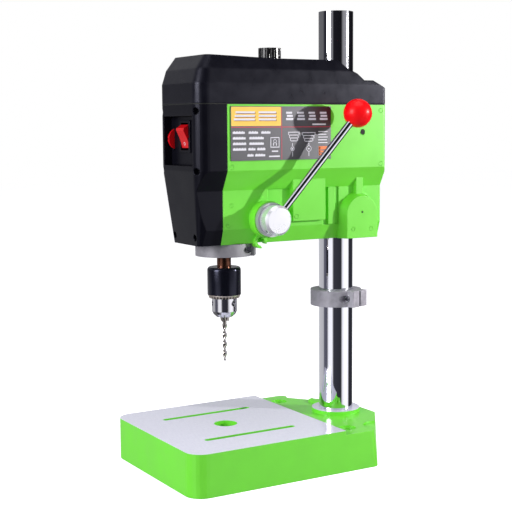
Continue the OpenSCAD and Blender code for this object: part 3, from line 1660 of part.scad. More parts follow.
base_casting();
column_tube();
column_plug();
column_set_screw();
stop_collar();
collar_screw();
column_bush();
head_casting();
clamp_bolts();
front_shell();
shell_screws();
label_plate();
switch_plate();
switch_body();
rocker();
speed_dial();
speed_control();
control_board();
cord_inlet();
nose_ring();
nose_ring_screw();
quill();
quill_bearings();
spindle();
drive_sleeve();
sleeve_bearings();
spindle_pulley();
pulley_nut();
drive_belt();
motor_pulley();
motor_shaft();
motor_core();
motor_fan();
commutator();
motor_can();
motor_field();
motor_top_bell();
motor_bottom_bell();
motor_bearings();
motor_brushes();
motor_screws();
top_cover();
cover_knob();
pinion_shaft();
pinion_bushes();
feed_hub();
hub_screw();
lever_rod();
ball_knob();
spring_cup();
return_spring();
chuck_body();
chuck_sleeve();
jaw_1();
jaw_2();
jaw_3();
drill_bit();
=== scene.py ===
"""Looks of the mini drill press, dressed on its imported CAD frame."""
import math

import bmesh
import bpy
from mathutils import Matrix, Vector

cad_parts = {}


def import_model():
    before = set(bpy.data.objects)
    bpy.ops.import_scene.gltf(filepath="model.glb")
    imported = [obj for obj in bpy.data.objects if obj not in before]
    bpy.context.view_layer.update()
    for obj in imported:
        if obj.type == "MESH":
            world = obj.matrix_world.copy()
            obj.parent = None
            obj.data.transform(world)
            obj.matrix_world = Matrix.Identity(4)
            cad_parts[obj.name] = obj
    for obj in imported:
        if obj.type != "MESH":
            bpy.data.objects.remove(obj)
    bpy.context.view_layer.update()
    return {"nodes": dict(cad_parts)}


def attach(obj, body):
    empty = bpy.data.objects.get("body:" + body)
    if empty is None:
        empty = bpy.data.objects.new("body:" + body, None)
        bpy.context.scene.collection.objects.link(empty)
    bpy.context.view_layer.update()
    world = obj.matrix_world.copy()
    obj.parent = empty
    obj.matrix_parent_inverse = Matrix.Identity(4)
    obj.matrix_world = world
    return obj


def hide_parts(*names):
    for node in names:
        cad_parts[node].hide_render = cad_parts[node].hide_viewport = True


MM = 0.001
SHIFT = Vector((0, -52.5, 0))  # from the spindle's axis to the middle of the footprint

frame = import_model()
nodes = frame["nodes"]
scene = bpy.context.scene


# Camera at the photograph's angle
AZIMUTH, ELEVATION, ROLL = (math.radians(v) for v in (59.41, 6.36, -0.41))
CAMERA_AT = (1.05445, -0.6364, 0.36019)
FOCAL_LENGTH, SENSOR_WIDTH = 80.57, 36


def camera():
    back = Vector((math.sin(AZIMUTH) * math.cos(ELEVATION),
                   -math.cos(AZIMUTH) * math.cos(ELEVATION), math.sin(ELEVATION)))
    right = (-back).cross(Vector((0, 0, 1))).normalized()
    up = right.cross(-back)
    across = right * math.cos(ROLL) + up * math.sin(ROLL)
    upward = -right * math.sin(ROLL) + up * math.cos(ROLL)
    data = bpy.data.cameras.new("camera")
    data.lens, data.sensor_width = FOCAL_LENGTH, SENSOR_WIDTH
    cam = bpy.data.objects.new("camera", data)
    turn = Matrix((across, upward, back)).transposed()
    cam.matrix_world = Matrix.Translation(CAMERA_AT) @ turn.to_4x4()
    scene.collection.objects.link(cam)
    scene.camera = cam


camera()


# Node graphs
NOISE_LOW, NOISE_HIGH = 0.3, 0.7  # where a noise texture spends most of its values


class Graph:
    """A short way to write the nodes of one material, group or world."""

    def __init__(self, tree):
        self.tree = tree
        tree.nodes.clear()

    def node(self, kind, inputs=None, **settings):
        n = self.tree.nodes.new(kind)
        for key, value in settings.items():
            setattr(n, key, value)
        for key, value in (inputs or {}).items():
            if isinstance(value, bpy.types.NodeSocket):
                self.tree.links.new(value, n.inputs[key])
            else:
                n.inputs[key].default_value = value
        return n

    def math(self, operation, a, b=0.0, clamp=False):
        return self.node("ShaderNodeMath", {0: a, 1: b}, operation=operation,
                         use_clamp=clamp).outputs[0]

    def mix(self, factor, a, b):
        return self.node("ShaderNodeMix", {0: factor, 6: a, 7: b}, data_type="RGBA").outputs[2]

    def blend(self, factor, a, b):
        return self.node("ShaderNodeMix", {0: factor, 2: a, 3: b}).outputs[0]

    def scaled(self, colour, factor):
        return self.node("ShaderNodeVectorMath", {0: colour, 3: factor},
                         operation="SCALE").outputs[0]

    def span(self, value, low, high, start=NOISE_LOW, end=NOISE_HIGH):
        """Maps start to low and end to high, and holds the value outside them."""
        return self.node("ShaderNodeMapRange",
                         {0: value, 1: start, 2: end, 3: low, 4: high}).outputs[0]


def srgb(r, g, b, a=1.0):
    return tuple((c / 255 / 12.92 if c <= 10 else ((c / 255 + 0.055) / 1.055) ** 2.4)
                 for c in (r, g, b)) + (a,)


def group(name, inputs, outputs, draw):
    """A shader node group with named sockets, built once for all the materials."""
    tree = bpy.data.node_groups.new(name, "ShaderNodeTree")
    for way, sockets in (("INPUT", inputs), ("OUTPUT", outputs)):
        for label, kind in sockets:
            tree.interface.new_socket(label, in_out=way, socket_type="NodeSocket" + kind)
    g = Graph(tree)
    into = g.node("NodeGroupInput").outputs
    g.node("NodeGroupOutput", draw(g, {label: into[label] for label, _ in inputs}))
    return tree


ROUGH_SPREAD = (0.85, 1.12)  # least and greatest share of a finish's roughness
ROUGH_GRAIN = 0.02           # what the fine grain adds or takes
RUBBED_FULL, RUBBED_NONE = 0.86, 0.99  # how far an edge turns the normal where it is rubbed
RUBBED_TONE = 1.6
GRAIN_STRENGTH = 0.6


def draw_mottle(g, given):
    """Broad tone and roughness changes, and the fine grain that dents the surface."""
    at = g.node("ShaderNodeTexCoord").outputs["Object"]
    broad = g.node("ShaderNodeTexNoise", {"Vector": at, "Scale": given["Mottle Scale"]}).outputs[0]
    along = g.node("ShaderNodeMapping", {0: at, 3: given["Stretch"]}).outputs[0]
    fine = g.node("ShaderNodeTexNoise", {"Vector": along, "Scale": given["Grain Scale"],
                                         "Detail": 4.0}).outputs[0]
    share = g.math("MULTIPLY", g.span(broad, -1, 1), given["Mottle"])
    colour = g.scaled(given["Color"], g.math("ADD", share, 1.0))
    rough = g.math("MULTIPLY", given["Roughness"], g.span(broad, *ROUGH_SPREAD))
    rough = g.math("ADD", rough, g.span(fine, -ROUGH_GRAIN, ROUGH_GRAIN), clamp=True)
    return {"Color": colour, "Roughness": rough, "Grain": fine}


def draw_edges(g, given):
    """Rounds the edges off, rubs them paler and dents the surface with the grain."""
    rounded = g.node("ShaderNodeBevel", {"Radius": given["Edge Radius"]}, samples=4).outputs[0]
    true = g.node("ShaderNodeNewGeometry").outputs["Normal"]
    turn = g.node("ShaderNodeVectorMath", {0: rounded, 1: true}, operation="DOT_PRODUCT")
    bared = g.span(turn.outputs["Value"], 1, 0, RUBBED_FULL, RUBBED_NONE)
    share = g.math("MULTIPLY", bared, g.math("MULTIPLY", g.span(given["Grain"], 0, 1),
                                             given["Wear"]))
    colour = g.mix(share, given["Color"], g.scaled(given["Color"], RUBBED_TONE))
    normal = g.node("ShaderNodeBump", {
        "Strength": GRAIN_STRENGTH, "Distance": given["Grain Depth"],
        "Height": given["Grain"], "Normal": rounded}).outputs[0]
    return {"Color": colour, "Normal": normal}


MOTTLE = group("mottle_and_grain",
               [("Color", "Color"), ("Mottle", "Float"), ("Mottle Scale", "Float"),
                ("Roughness", "Float"), ("Grain Scale", "Float"), ("Stretch", "Vector")],
               [("Color", "Color"), ("Roughness", "Float"), ("Grain", "Float")], draw_mottle)
EDGES = group("eased_edges",
              [("Color", "Color"), ("Grain", "Float"), ("Grain Depth", "Float"),
               ("Edge Radius", "Float"), ("Wear", "Float")],
              [("Color", "Color"), ("Normal", "Vector")], draw_edges)


def finish(name, colour, rough, grain=900, depth=0.02, mottle=0.06, mottle_scale=40, edge=0.6,
           wear=0.0, stretch=(1, 1, 1), extra=None, **sockets):
    """A painted, moulded or machined finish; depth and edge are in millimetres."""
    m = bpy.data.materials.new(name)
    m.use_nodes = True
    g = Graph(m.node_tree)
    spots = g.node("ShaderNodeGroup", node_tree=MOTTLE)
    for label, value in (("Color", colour), ("Mottle", mottle), ("Mottle Scale", mottle_scale),
                         ("Roughness", rough), ("Grain Scale", grain), ("Stretch", stretch)):
        spots.inputs[label].default_value = value
    edges = g.node("ShaderNodeGroup", node_tree=EDGES)
    for label in ("Color", "Grain"):
        g.tree.links.new(spots.outputs[label], edges.inputs[label])
    for label, value in (("Grain Depth", depth * MM), ("Edge Radius", edge * MM), ("Wear", wear)):
        edges.inputs[label].default_value = value
    given = {"Base Color": edges.outputs["Color"], "Roughness": spots.outputs["Roughness"],
             "Normal": edges.outputs["Normal"], **sockets}
    if extra:
        given.update(extra(g, given))
    shader = g.node("ShaderNodeBsdfPrincipled", given)
    g.node("ShaderNodeOutputMaterial", {0: shader.outputs[0]})
    return m


# Two finishes change over one casting
TABLE_FROM = 44.5 * MM   # what stands higher than this on the base is ground bare
SNOUT_BELOW = 227.5 * MM  # what hangs lower than this on the head is turned bare
FACES_UP = 0.9
GRINDING_STRETCH, GRINDING_SCALE = (1, 14, 1), 160.0
GROUND_DARK, GROUND_LIGHT = srgb(214, 214, 232), srgb(232, 232, 246)
SNOUT_METAL = srgb(128, 126, 132)
SIDE_GLOSS, DECK_GLOSS, TABLE_GLOSS = 0.12, 0.35, 1.0


def height_in(g):
    at = g.node("ShaderNodeTexCoord").outputs["Object"]
    return at, g.node("ShaderNodeSeparateXYZ", {0: at}).outputs[2]


def ground_base(g, given):
    """Bare ground metal where the base reaches table height, and gloss on what faces up."""
    at, height = height_in(g)
    table = g.math("GREATER_THAN", height, TABLE_FROM)
    across = g.node("ShaderNodeMapping", {0: at, 3: GRINDING_STRETCH}).outputs[0]
    lines = g.node("ShaderNodeTexNoise", {"Vector": across, "Scale": GRINDING_SCALE}).outputs[0]
    metal = g.mix(g.span(lines, 0, 1), GROUND_DARK, GROUND_LIGHT)
    true = g.node("ShaderNodeNewGeometry").outputs["Normal"]
    up = g.math("GREATER_THAN", g.node("ShaderNodeSeparateXYZ", {0: true}).outputs[2], FACES_UP)
    gloss = g.blend(up, SIDE_GLOSS, g.blend(table, DECK_GLOSS, TABLE_GLOSS))
    return {"Base Color": g.mix(table, given["Base Color"], metal), "Coat Weight": gloss}


def bare_snout(g, given):
    """The end of the quill's snout is turned bright, below the head's paint."""
    low = g.math("LESS_THAN", height_in(g)[1], SNOUT_BELOW)
    return {"Base Color": g.mix(low, given["Base Color"], SNOUT_METAL)}


GREEN = srgb(112, 220, 52)
BLUISH = (0.8, 0.8, 1, 1)

FINISHES = {
    "green": finish("green_enamel", GREEN, 0.42, grain=500, mottle=0.03, wear=0.3, edge=1.2,
                    extra=bare_snout, **{"Coat Weight": 0.15, "Coat Roughness": 0.3}),
    "base_green": finish("base_enamel", GREEN, 0.42, grain=400, depth=0.012, mottle=0.03,
                         wear=0.25, edge=1.2, extra=ground_base, **{"Coat Roughness": 0.03}),
    "shell": finish("shell_plastic", srgb(11, 11, 18), 0.34, grain=1500, depth=0.02, mottle=0.1,
                    wear=0.4, edge=1.5,
                    **{"Specular IOR Level": 0.16, "Specular Tint": BLUISH}),
    "cover": finish("cover_plastic", srgb(13, 13, 21), 0.33, grain=700, depth=0.04, mottle=0.1,
                    mottle_scale=90, wear=0.4, edge=2.5,
                    **{"Specular IOR Level": 0.24, "Specular Tint": BLUISH}),
    "gloss_black": finish("gloss_black", srgb(14, 14, 17), 0.25, mottle=0.1, wear=0.2, edge=0.3),
    "chrome": finish("chrome_plate", srgb(232, 232, 240), 0.05, depth=0.0, mottle=0.015,
                     edge=0.2, Metallic=1.0),
    "chuck_chrome": finish("chuck_chrome", srgb(215, 214, 220), 0.13, grain=600, depth=0.002,
                           mottle=0.03, stretch=(1, 1, 20), edge=0.6, Metallic=1.0),
    "grey_cast": finish("grey_casting", srgb(168, 164, 174), 0.5, depth=0.1, mottle=0.14,
                        mottle_scale=160, edge=0.8, wear=0.5, Metallic=0.3),
    "ring_cast": finish("ring_casting", srgb(140, 138, 144), 0.45, depth=0.06, mottle=0.1,
                        mottle_scale=120, edge=1.2, wear=0.5, Metallic=0.3),
    "steel": finish("bright_steel", srgb(205, 205, 212), 0.2, depth=0.008, stretch=(1, 1, 12),
                    edge=0.2, Metallic=1.0),
    "hub": finish("turned_aluminium", srgb(238, 238, 244), 0.3, depth=0.006, mottle=0.03,
                  stretch=(12, 1, 1), edge=0.5, Metallic=0.6),
    "flange": finish("turned_steel", srgb(190, 192, 196), 0.4, depth=0.006, mottle=0.05,
                     edge=0.4, Metallic=0.55),
    "brown": finish("tempered_steel", srgb(92, 58, 44), 0.3, grain=600, depth=0.01, mottle=0.3,
                    mottle_scale=120, stretch=(1, 1, 8), edge=0.3, Metallic=0.9),
    "sleeve": finish("black_oxide", srgb(32, 33, 46), 0.2, depth=0.004, mottle=0.1, edge=0.5,
                     Metallic=0.75),
    "teeth": finish("worn_teeth", srgb(188, 178, 168), 0.35, grain=1200, mottle=0.2,
                    mottle_scale=300, edge=0.2, Metallic=0.7),
    "dark_steel": finish("dark_steel", srgb(52, 52, 56), 0.4, wear=0.4, edge=0.2, Metallic=0.7),
    "red": finish("red_plastic", srgb(196, 10, 20), 0.3, depth=0.004, mottle=0.05, edge=0.4,
                  **{"Specular IOR Level": 0.25}),
    "red_ball": finish("red_ball", srgb(240, 5, 16), 0.32, grain=300, depth=0.004, mottle=0.03,
                       edge=0.2, **{"Specular IOR Level": 0.2}),
    "label": finish("label_film", srgb(14, 13, 20), 0.44, grain=2000, depth=0.004, edge=0.2,
                    IOR=2.0,
                    **{"Specular IOR Level": 0.55, "Specular Tint": (0.94, 0.93, 1, 1)}),
    "bronze": finish("bronze", srgb(190, 150, 90), 0.3, Metallic=1.0),
    "copper": finish("copper", srgb(190, 110, 70), 0.3, stretch=(1, 1, 10), Metallic=1.0),
    "rubber": finish("belt_rubber", srgb(26, 26, 28), 0.75, grain=1500, depth=0.04),
    "board": finish("circuit_board", srgb(30, 96, 56), 0.4, grain=2500, depth=0.01),
    "blue": finish("blue_plastic", srgb(34, 74, 130), 0.35),
    "drill": finish("drill_steel", srgb(196, 190, 184), 0.18, depth=0.002, mottle=0.15,
                    mottle_scale=300, edge=0.05, Metallic=1.0),
    "pale_ink": finish("pale_ink", srgb(226, 224, 232), 0.42, depth=0.002, mottle=0.04,
                       edge=0.05),
    "yellow_ink": finish("yellow_ink", srgb(250, 204, 88), 0.42, depth=0.002, mottle=0.05,
                         edge=0.05),
    "brown_ink": finish("brown_ink", srgb(150, 96, 50), 0.42, depth=0.002, mottle=0.08,
                        edge=0.05),
    "red_ink": finish("red_ink", srgb(196, 56, 78), 0.42, depth=0.002, mottle=0.05, edge=0.05),
    "orange_ink": finish("orange_ink", srgb(240, 124, 60), 0.42, depth=0.002, mottle=0.06,
                         edge=0.05),
    # painted shade: a near-black finish for the insides of small hollows and the gap at the
    # cover's joint
    "painted_shade": finish("drilled_hollow", srgb(10, 14, 9), 0.7, mottle=0.2, edge=0.05),
}

LOOKS = {
    "base_green": ["base_casting"],
    "green": ["head_casting"],
    "shell": ["front_shell", "cord_inlet", "switch_plate", "switch_body"],
    "cover": ["top_cover"],
    "gloss_black": ["cover_knob", "spring_cup", "shell_screws", "motor_fan",
                    "motor_brushes"],
    "chrome": ["column_tube", "lever_rod"],
    "chuck_chrome": ["chuck_body"],
    "grey_cast": ["stop_collar"],
    "ring_cast": ["nose_ring"],
    "steel": ["quill", "quill_bearings", "sleeve_bearings", "motor_bearings", "drive_sleeve",
              "motor_shaft", "pinion_shaft", "collar_screw", "nose_ring_screw", "motor_can",
              "motor_core", "motor_top_bell", "motor_bottom_bell", "return_spring"],
    "flange": ["pinion_bushes"],
    "hub": ["feed_hub", "spindle_pulley", "motor_pulley"],
    "brown": ["spindle"],
    "sleeve": ["chuck_sleeve"],
    "dark_steel": ["column_plug", "column_set_screw", "clamp_bolts", "hub_screw", "motor_screws",
                   "pulley_nut"],
    "red": ["rocker", "speed_dial"],
    "red_ball": ["ball_knob"],
    "label": ["label_plate"],
    "bronze": ["column_bush"],
    "copper": ["commutator", "motor_field"],
    "rubber": ["drive_belt"],
    "board": ["control_board"],
    "blue": ["speed_control"],
    "drill": ["drill_bit", "jaw_1", "jaw_2", "jaw_3"],
}
for look, names in LOOKS.items():
    for name in names:
        nodes[name].data.materials.clear()
        nodes[name].data.materials.append(FINISHES[look])


# Pieces, drawn in millimetres about the spindle axis
SAME_POINT = 1e-7
SHARP = 32  # degrees between faces at which an edge stays crisp
AXES = {"X": (1, 0, 0), "Z": (0, 0, 1)}
RING_SIDES = 8
RING_STEPS = 40
TURNED_STEPS = 96


def piece(name, bm, look, body, replaces=(), sharp=SHARP, bevel=0.0):
    """Turns a mesh into a piece of the model that rides on a body."""
    bmesh.ops.transform(bm, matrix=Matrix.Scale(MM, 4) @ Matrix.Translation(SHIFT),
                        verts=bm.verts)
    bmesh.ops.remove_doubles(bm, verts=bm.verts, dist=SAME_POINT)
    bmesh.ops.recalc_face_normals(bm, faces=bm.faces)
    mesh = bpy.data.meshes.new(name)
    bm.to_mesh(mesh)
    bm.free()
    for face in mesh.polygons:
        face.use_smooth = True
    mesh.set_sharp_from_angle(angle=math.radians(sharp))
    mesh.materials.append(FINISHES[look])
    obj = bpy.data.objects.new(name, mesh)
    scene.collection.objects.link(obj)
    if bevel:
        eased = obj.modifiers.new("edges", "BEVEL")
        eased.width, eased.segments, eased.limit_method = bevel * MM, 3, "ANGLE"
        eased.angle_limit = math.radians(sharp)
        eased.harden_normals = True
    if replaces:
        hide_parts(*replaces)
    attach(obj, body)


def full_turn(bm, geom, at, axis, steps):
    bmesh.ops.spin(bm, geom=geom, cent=at, dvec=(0, 0, 0), angle=2 * math.pi, axis=AXES[axis],
                   steps=steps, use_merge=True, use_duplicate=False)


def turned(bm, profile, at=(0, 0, 0), axis="Z", steps=TURNED_STEPS, closed=True):
    """Spins a profile of radii and heights about an axis."""
    at = Vector(at)
    spots = [(r, 0, h) if axis == "Z" else (h, r, 0) for r, h in profile]
    verts = [bm.verts.new(at + Vector(spot)) for spot in spots]
    ends = list(zip(verts, verts[1:])) + ([(verts[-1], verts[0])] if closed else [])
    full_turn(bm, verts + [bm.edges.new(pair) for pair in ends], at, axis, steps)


def hoop(bm, at, r, thick, axis="X"):
    """A thin ring of round section."""
    out = Vector((0, r, 0)) if axis == "X" else Vector((r, 0, 0))
    lean = Matrix.Identity(4) if axis == "X" else Matrix.Rotation(math.pi / 2, 4, "X")
    place = Matrix.Translation(Vector(at) + out) @ lean
    ring = bmesh.ops.create_circle(bm, segments=RING_SIDES, radius=thick, matrix=place)["verts"]
    section = set(ring)
    sides = [e for e in bm.edges if section.issuperset(e.verts)]
    full_turn(bm, ring + sides, at, axis, RING_STEPS)


def corner_edges(verts, chosen):
    """The chosen edges of a block, in an order that doesn't change from run to run."""
    edges = [e for e in {e for v in verts for e in v.link_edges} if chosen(e)]
    return sorted(edges, key=lambda e: tuple(e.verts[0].co))


def bar(bm, y0, z0, y1, z1, x0, x1, r=0.3):
    """A flat bar on the head's right side, with rounded corners."""
    low, high = Vector((x0, y0, z0)), Vector((x1, y1, z1))
    place = Matrix.Translation((low + high) / 2) @ Matrix.Diagonal((*(high - low), 1))
    made = bmesh.ops.create_cube(bm, size=1, matrix=place)["verts"]
    corners = corner_edges(
        made, lambda e: abs(e.verts[0].co.x - e.verts[1].co.x) > (x1 - x0) / 2)
    most = 0.45  # share of a side that a corner may take
    bmesh.ops.bevel(bm, geom=corners, offset=min(r, (y1 - y0) * most, (z1 - z0) * most),
                    segments=2, profile=0.5, affect="EDGES", material=-1)


# Label print: plain bars, lines and signs with no wording. A box is left, foot, right, top.
FILM = 45.8      # outer face of the label
INK = 0.05       # thickness of the first coat of ink
INK_ROOT = 0.02  # how far the ink starts inside the film
SHARP_CORNER, SMALL_CORNER = 0.1, 0.2


def print_on_label(name, look, draw, lift=0.0):
    bm = bmesh.new()
    draw(bm, FILM - INK_ROOT, FILM + INK + lift)
    piece(name, bm, look, "head")


def boxes(*given, r=0.3):
    def draw(bm, low, top):
        for box in given:
            bar(bm, *box, low, top, r)
    return draw


TITLE_BLOCKS = ((49.6, 58.4), (63.2, 72.8), (77.2, 86.6), (91.4, 101.2))
TITLE_ROWS = ((367.8, 370.0, 0, 0), (371.2, 373.2, 1, 0.6), (374.4, 376.4, 0, 1.4))
TITLE_FOOT = (82, 362.6, 99, 364.2)


def title_bars(bm, low, top):
    for y0, y1 in TITLE_BLOCKS:
        for z0, z1, left, right in TITLE_ROWS:
            bar(bm, y0 + left, z0, y1 - right, z1, low, top)
    bar(bm, *TITLE_FOOT, low, top)


DATA_ROWS = (
    (355.2, ((-13.8, 0.2), (4.6, 15.8), (19.6, 30.6))),
    (349.6, ((-13.8, 1.2), (5.4, 22.6))),
    (344.0, ((-13.8, 1.8), (5.4, 22.6))),
    (338.4, ((-13.8, 1.8), (4.2, 12.6), (14.6, 24.4))),
    (332.2, ((3.0, 10.4), (12.2, 24.2))))
ROW_HALF = 1.1
NIB_FIRST, NIB_STEP, NIB_WIDE, NIB_ROOM = 1.2, 3.1, 1.3, 3.2
NIB_FOOT, NIB_TOP = 1.0, 1.7
LIST_LEFT, LIST_ENDS = 89.4, (101.4, 99.6, 101.4, 100.2, 101.0)
LIST_FOOT, LIST_TOP, LIST_STEP = 355.4, 356.2, 2.9


def data_rows(bm, low, top):
    for z, spans in DATA_ROWS:
        for y0, y1 in spans:
            bar(bm, y0, z - ROW_HALF, y1, z + ROW_HALF, low, top)
            for k in range(int((y1 - y0 - NIB_ROOM) / NIB_STEP) + 1):
                y = y0 + NIB_FIRST + NIB_STEP * k
                bar(bm, y, z + NIB_FOOT, y + NIB_WIDE, z + NIB_TOP, low, top, SMALL_CORNER)
    for k, end in enumerate(LIST_ENDS):
        drop = LIST_STEP * k
        bar(bm, LIST_LEFT, LIST_FOOT - drop, end, LIST_TOP - drop, low, top, SMALL_CORNER)


SIGN_BARS = (
    (30.6, 349.6, 41.4, 350.5), (30.6, 339.8, 41.4, 340.7), (30.6, 340.2, 31.4, 350.1),
    (40.6, 340.2, 41.4, 350.1), (32.2, 335.4, 39.8, 336.8), (28.8, 330.2, 41.8, 331.6),
    (33.8, 341.8, 34.8, 344.6), (37.2, 341.8, 38.2, 344.6))
SIGN_RING_AT, SIGN_RING_R = (36, 346.4), 1.7
DRAWN_RING, RING_SUNK = 0.3, 0.05


def framed_sign(bm, low, top):
    boxes(*SIGN_BARS)(bm, low, top)
    hoop(bm, (top - RING_SUNK, *SIGN_RING_AT), SIGN_RING_R, DRAWN_RING)


CONES = ((52, 14, 0), (69, 17, -0.6))  # left end, width and lift of each drawn stepped cone
CONE_SHARES = (1, 0.84, 0.68, 0.52)
CONE_TOP, CONE_STEP, CONE_INSET = 355.4, 3, 0.08
LINE_HALF, RISER_DROP = 0.35, 2.9
DRAWN_SHAFTS = ((57.4, 2.0), (77.6, 2.9))  # place of each drawn shaft, and its ring's radius
SHAFT_RING_Z = 338.2
SHAFT_BARS = ((0.4, 341.0, 344.2, SHARP_CORNER), (0.35, 330.4, 335.2, SHARP_CORNER),
              (0.9, 337.4, 338.8, 0.3))  # half width, foot, top, corner


def pulley_signs(bm, low, top):
    for left, wide, lift in CONES:
        for k, share in enumerate(CONE_SHARES):
            z = CONE_TOP - CONE_STEP * k + lift
            bar(bm, left + wide * (1 - share) / 2, z - LINE_HALF,
                left + wide * (1 + share) / 2, z + LINE_HALF, low, top, SHARP_CORNER)
            if share == CONE_SHARES[-1]:
                continue
            for side in (1 - share + CONE_INSET, 1 + share - CONE_INSET):
                y = left + wide * side / 2
                bar(bm, y - LINE_HALF, z - RISER_DROP, y + LINE_HALF, z, low, top, SHARP_CORNER)
    for y, r in DRAWN_SHAFTS:
        hoop(bm, (top - RING_SUNK, y, SHAFT_RING_Z), r, DRAWN_RING)
        for half, foot, head, corner in SHAFT_BARS:
            bar(bm, y - half, foot, y + half, head, low, top, corner)


HEADING_ROWS = ((368.6, -12.5), (372.2, -11.3), (375.8, -10.3))  # height and left end
HEADING_BREAK, HEADING_RIGHT = (12.2, 16.6), 37.4
HEADING_HALF = 1
HEADING_DROP = 0.8


def heading_bars(drop):
    def draw(bm, low, top):
        for z, left in HEADING_ROWS:
            for y0, y1 in ((left, HEADING_BREAK[0]), (HEADING_BREAK[1], HEADING_RIGHT)):
                bar(bm, y0 + drop, z - HEADING_HALF - drop, y1 + drop, z + HEADING_HALF - drop,
                    low, top)
    return draw


YELLOW_FIELD = (-15.4, 362.0, 43.4, 381.4)
ORANGE_BLOCKS = ((90.0, 331.0, 100.6, 332.8), (90.0, 334.0, 100.6, 335.8),
                 (90.0, 337.0, 100.6, 340.4), (90.4, 331.4, 92.0, 339.8))
RED_LINES = ((-15.6, 360.4, 105.0, 361.2), (43.9, 327.6, 44.6, 360.5),
             (43.9, 361.1, 44.6, 381.6))

print_on_label("label_title_bars", "pale_ink", title_bars)
print_on_label("label_data_rows", "pale_ink", data_rows, 0.02)
print_on_label("label_framed_sign", "pale_ink", framed_sign, 0.02)
print_on_label("label_pulley_signs", "pale_ink", pulley_signs, 0.02)
print_on_label("label_field_yellow", "yellow_ink", boxes(YELLOW_FIELD, r=0.6))
print_on_label("label_heading_shadow", "brown_ink", heading_bars(HEADING_DROP), 0.03)
print_on_label("label_heading_bars", "pale_ink", heading_bars(0.0), 0.06)
print_on_label("label_lines", "red_ink", boxes(*RED_LINES, r=SHARP_CORNER))
print_on_label("label_field_orange", "orange_ink", boxes(*ORANGE_BLOCKS, r=SHARP_CORNER), 0.02)


# Ring marks that the mould's pins left on the head casting, and two small hollows whose insides
# are painted shade
PIN_MARKS = (  # place and radius
    (45, -14.4, 320.8, 2.3), (45, 171.6, 320.4, 2.3), (45, 171.4, 378.0, 2.3),
    (39.17, 66.4, 267.0, 2.5), (34, -13.6, 260.6, 2.1), (34, -9.2, 281, 2.1),
    (45, 135.6, 250.6, 2.1), (45, 159.2, 250.2, 2.1))
PIN_RIDGE = 0.28
HOLLOWS = ((45, 147.4, 354.9, 3.2, 0.3), (45, 147.4, 268.6, 1.2, 0.22))  # with the ridge
HOLLOW_OUT, HOLLOW_IN, HOLLOW_EDGE = 0.05, -0.2, 0.1


def mould_marks():
    bm = bmesh.new()
    for x, y, z, r in PIN_MARKS:
        hoop(bm, (x, y, z), r, PIN_RIDGE)
    for x, y, z, r, ridge in HOLLOWS:
        hoop(bm, (x, y, z), r, ridge)
    piece("mould_marks", bm, "green", "head")
    # painted shade: a near-black disc sunk in each hollow stands for its shaded inside
    bm = bmesh.new()
    for x, y, z, r, _ in HOLLOWS:
        rim = r - HOLLOW_EDGE
        turned(bm, [(0.0, HOLLOW_OUT), (rim, HOLLOW_OUT), (rim, HOLLOW_IN), (0.0, HOLLOW_IN)],
               (x, y, z), "X", RING_STEPS, False)
    piece("head_hollows", bm, "painted_shade", "head")


mould_marks()


# Painted shade: a dark strip along the joint between the belt cover and the head
JOINT_AT, JOINT_SIZE = (0, 61.8, 384.4), (90.16, 228.7, 0.9)
JOINT_CORNER = 13.05
JOINT_BACK = 176  # nothing is drawn on the head's back face


def cover_joint():
    bm = bmesh.new()
    place = Matrix.Translation(JOINT_AT) @ Matrix.Diagonal((*JOINT_SIZE, 1))
    made = bmesh.ops.create_cube(bm, size=1, matrix=place)["verts"]
    corners = corner_edges(
        made, lambda e: abs(e.verts[0].co.z - e.verts[1].co.z) > JOINT_SIZE[2] / 2
        and e.verts[0].co.y < 0)
    bmesh.ops.bevel(bm, geom=corners, offset=JOINT_CORNER, segments=10, profile=0.5,
                    affect="EDGES", material=-1)
    bm.normal_update()
    spare = [f for f in bm.faces
             if abs(f.normal.z) > FACES_UP or f.calc_center_median().y > JOINT_BACK]
    bmesh.ops.delete(bm, geom=spare, context="FACES")
    piece("cover_joint", bm, "painted_shade", "head")


cover_joint()


# Chuck sleeve and the toothed crown under it
SLEEVE_LOW, SLEEVE_TOP, SLEEVE_R = 185.2, 214.4, 17.9
SHOULDER = ((0, 3.4), (0.35, 1.8), (1.2, 0.5), (2.3, 0))  # inward from the side, down from the top
CAP_R, CAP_SUNK = 15.4, 2.8
CROWN_LOW, CROWN_R, CROWN_IN = 181.4, 16.2, 14.0
BAND = ((0.9, 1.3), (0.15, 0.3), (0.3, 0.02))  # inward from the side, down from the sleeve
BAND_LOW, BAND_HIGH = 1.3, 0.02
TEETH = 30
TOOTH_TOP = 1.2    # how far under the sleeve the teeth start
TOOTH_IN = 0.2     # how far their backs stand off the bore
TOOTH_BACK = 1.1   # how far their tops stay inside the sleeve's side
TOOTH_WIDE, TOOTH_POINT = 2.5, 0.7
ROOT_IN, ROOT_FOOT, ROOT_HEAD, ROOT_TOP = 0.1, 1.4, 2.4, 1.25


def tooth(bm, turn):
    made = bmesh.ops.create_cube(bm, size=1)["verts"]
    inner = CROWN_IN + TOOTH_IN
    ends = (([v for v in made if v.co.z > 0], SLEEVE_R - TOOTH_BACK, TOOTH_WIDE,
             SLEEVE_LOW - TOOTH_TOP),
            ([v for v in made if v.co.z < 0], CROWN_R, TOOTH_POINT, CROWN_LOW))
    for verts, outer, wide, height in ends:
        bmesh.ops.scale(bm, vec=(outer - inner, wide, 0), verts=verts)
        bmesh.ops.translate(bm, vec=((outer + inner) / 2, 0, height), verts=verts)
    bmesh.ops.rotate(bm, cent=(0, 0, 0), matrix=Matrix.Rotation(turn, 3, "Z"), verts=made)


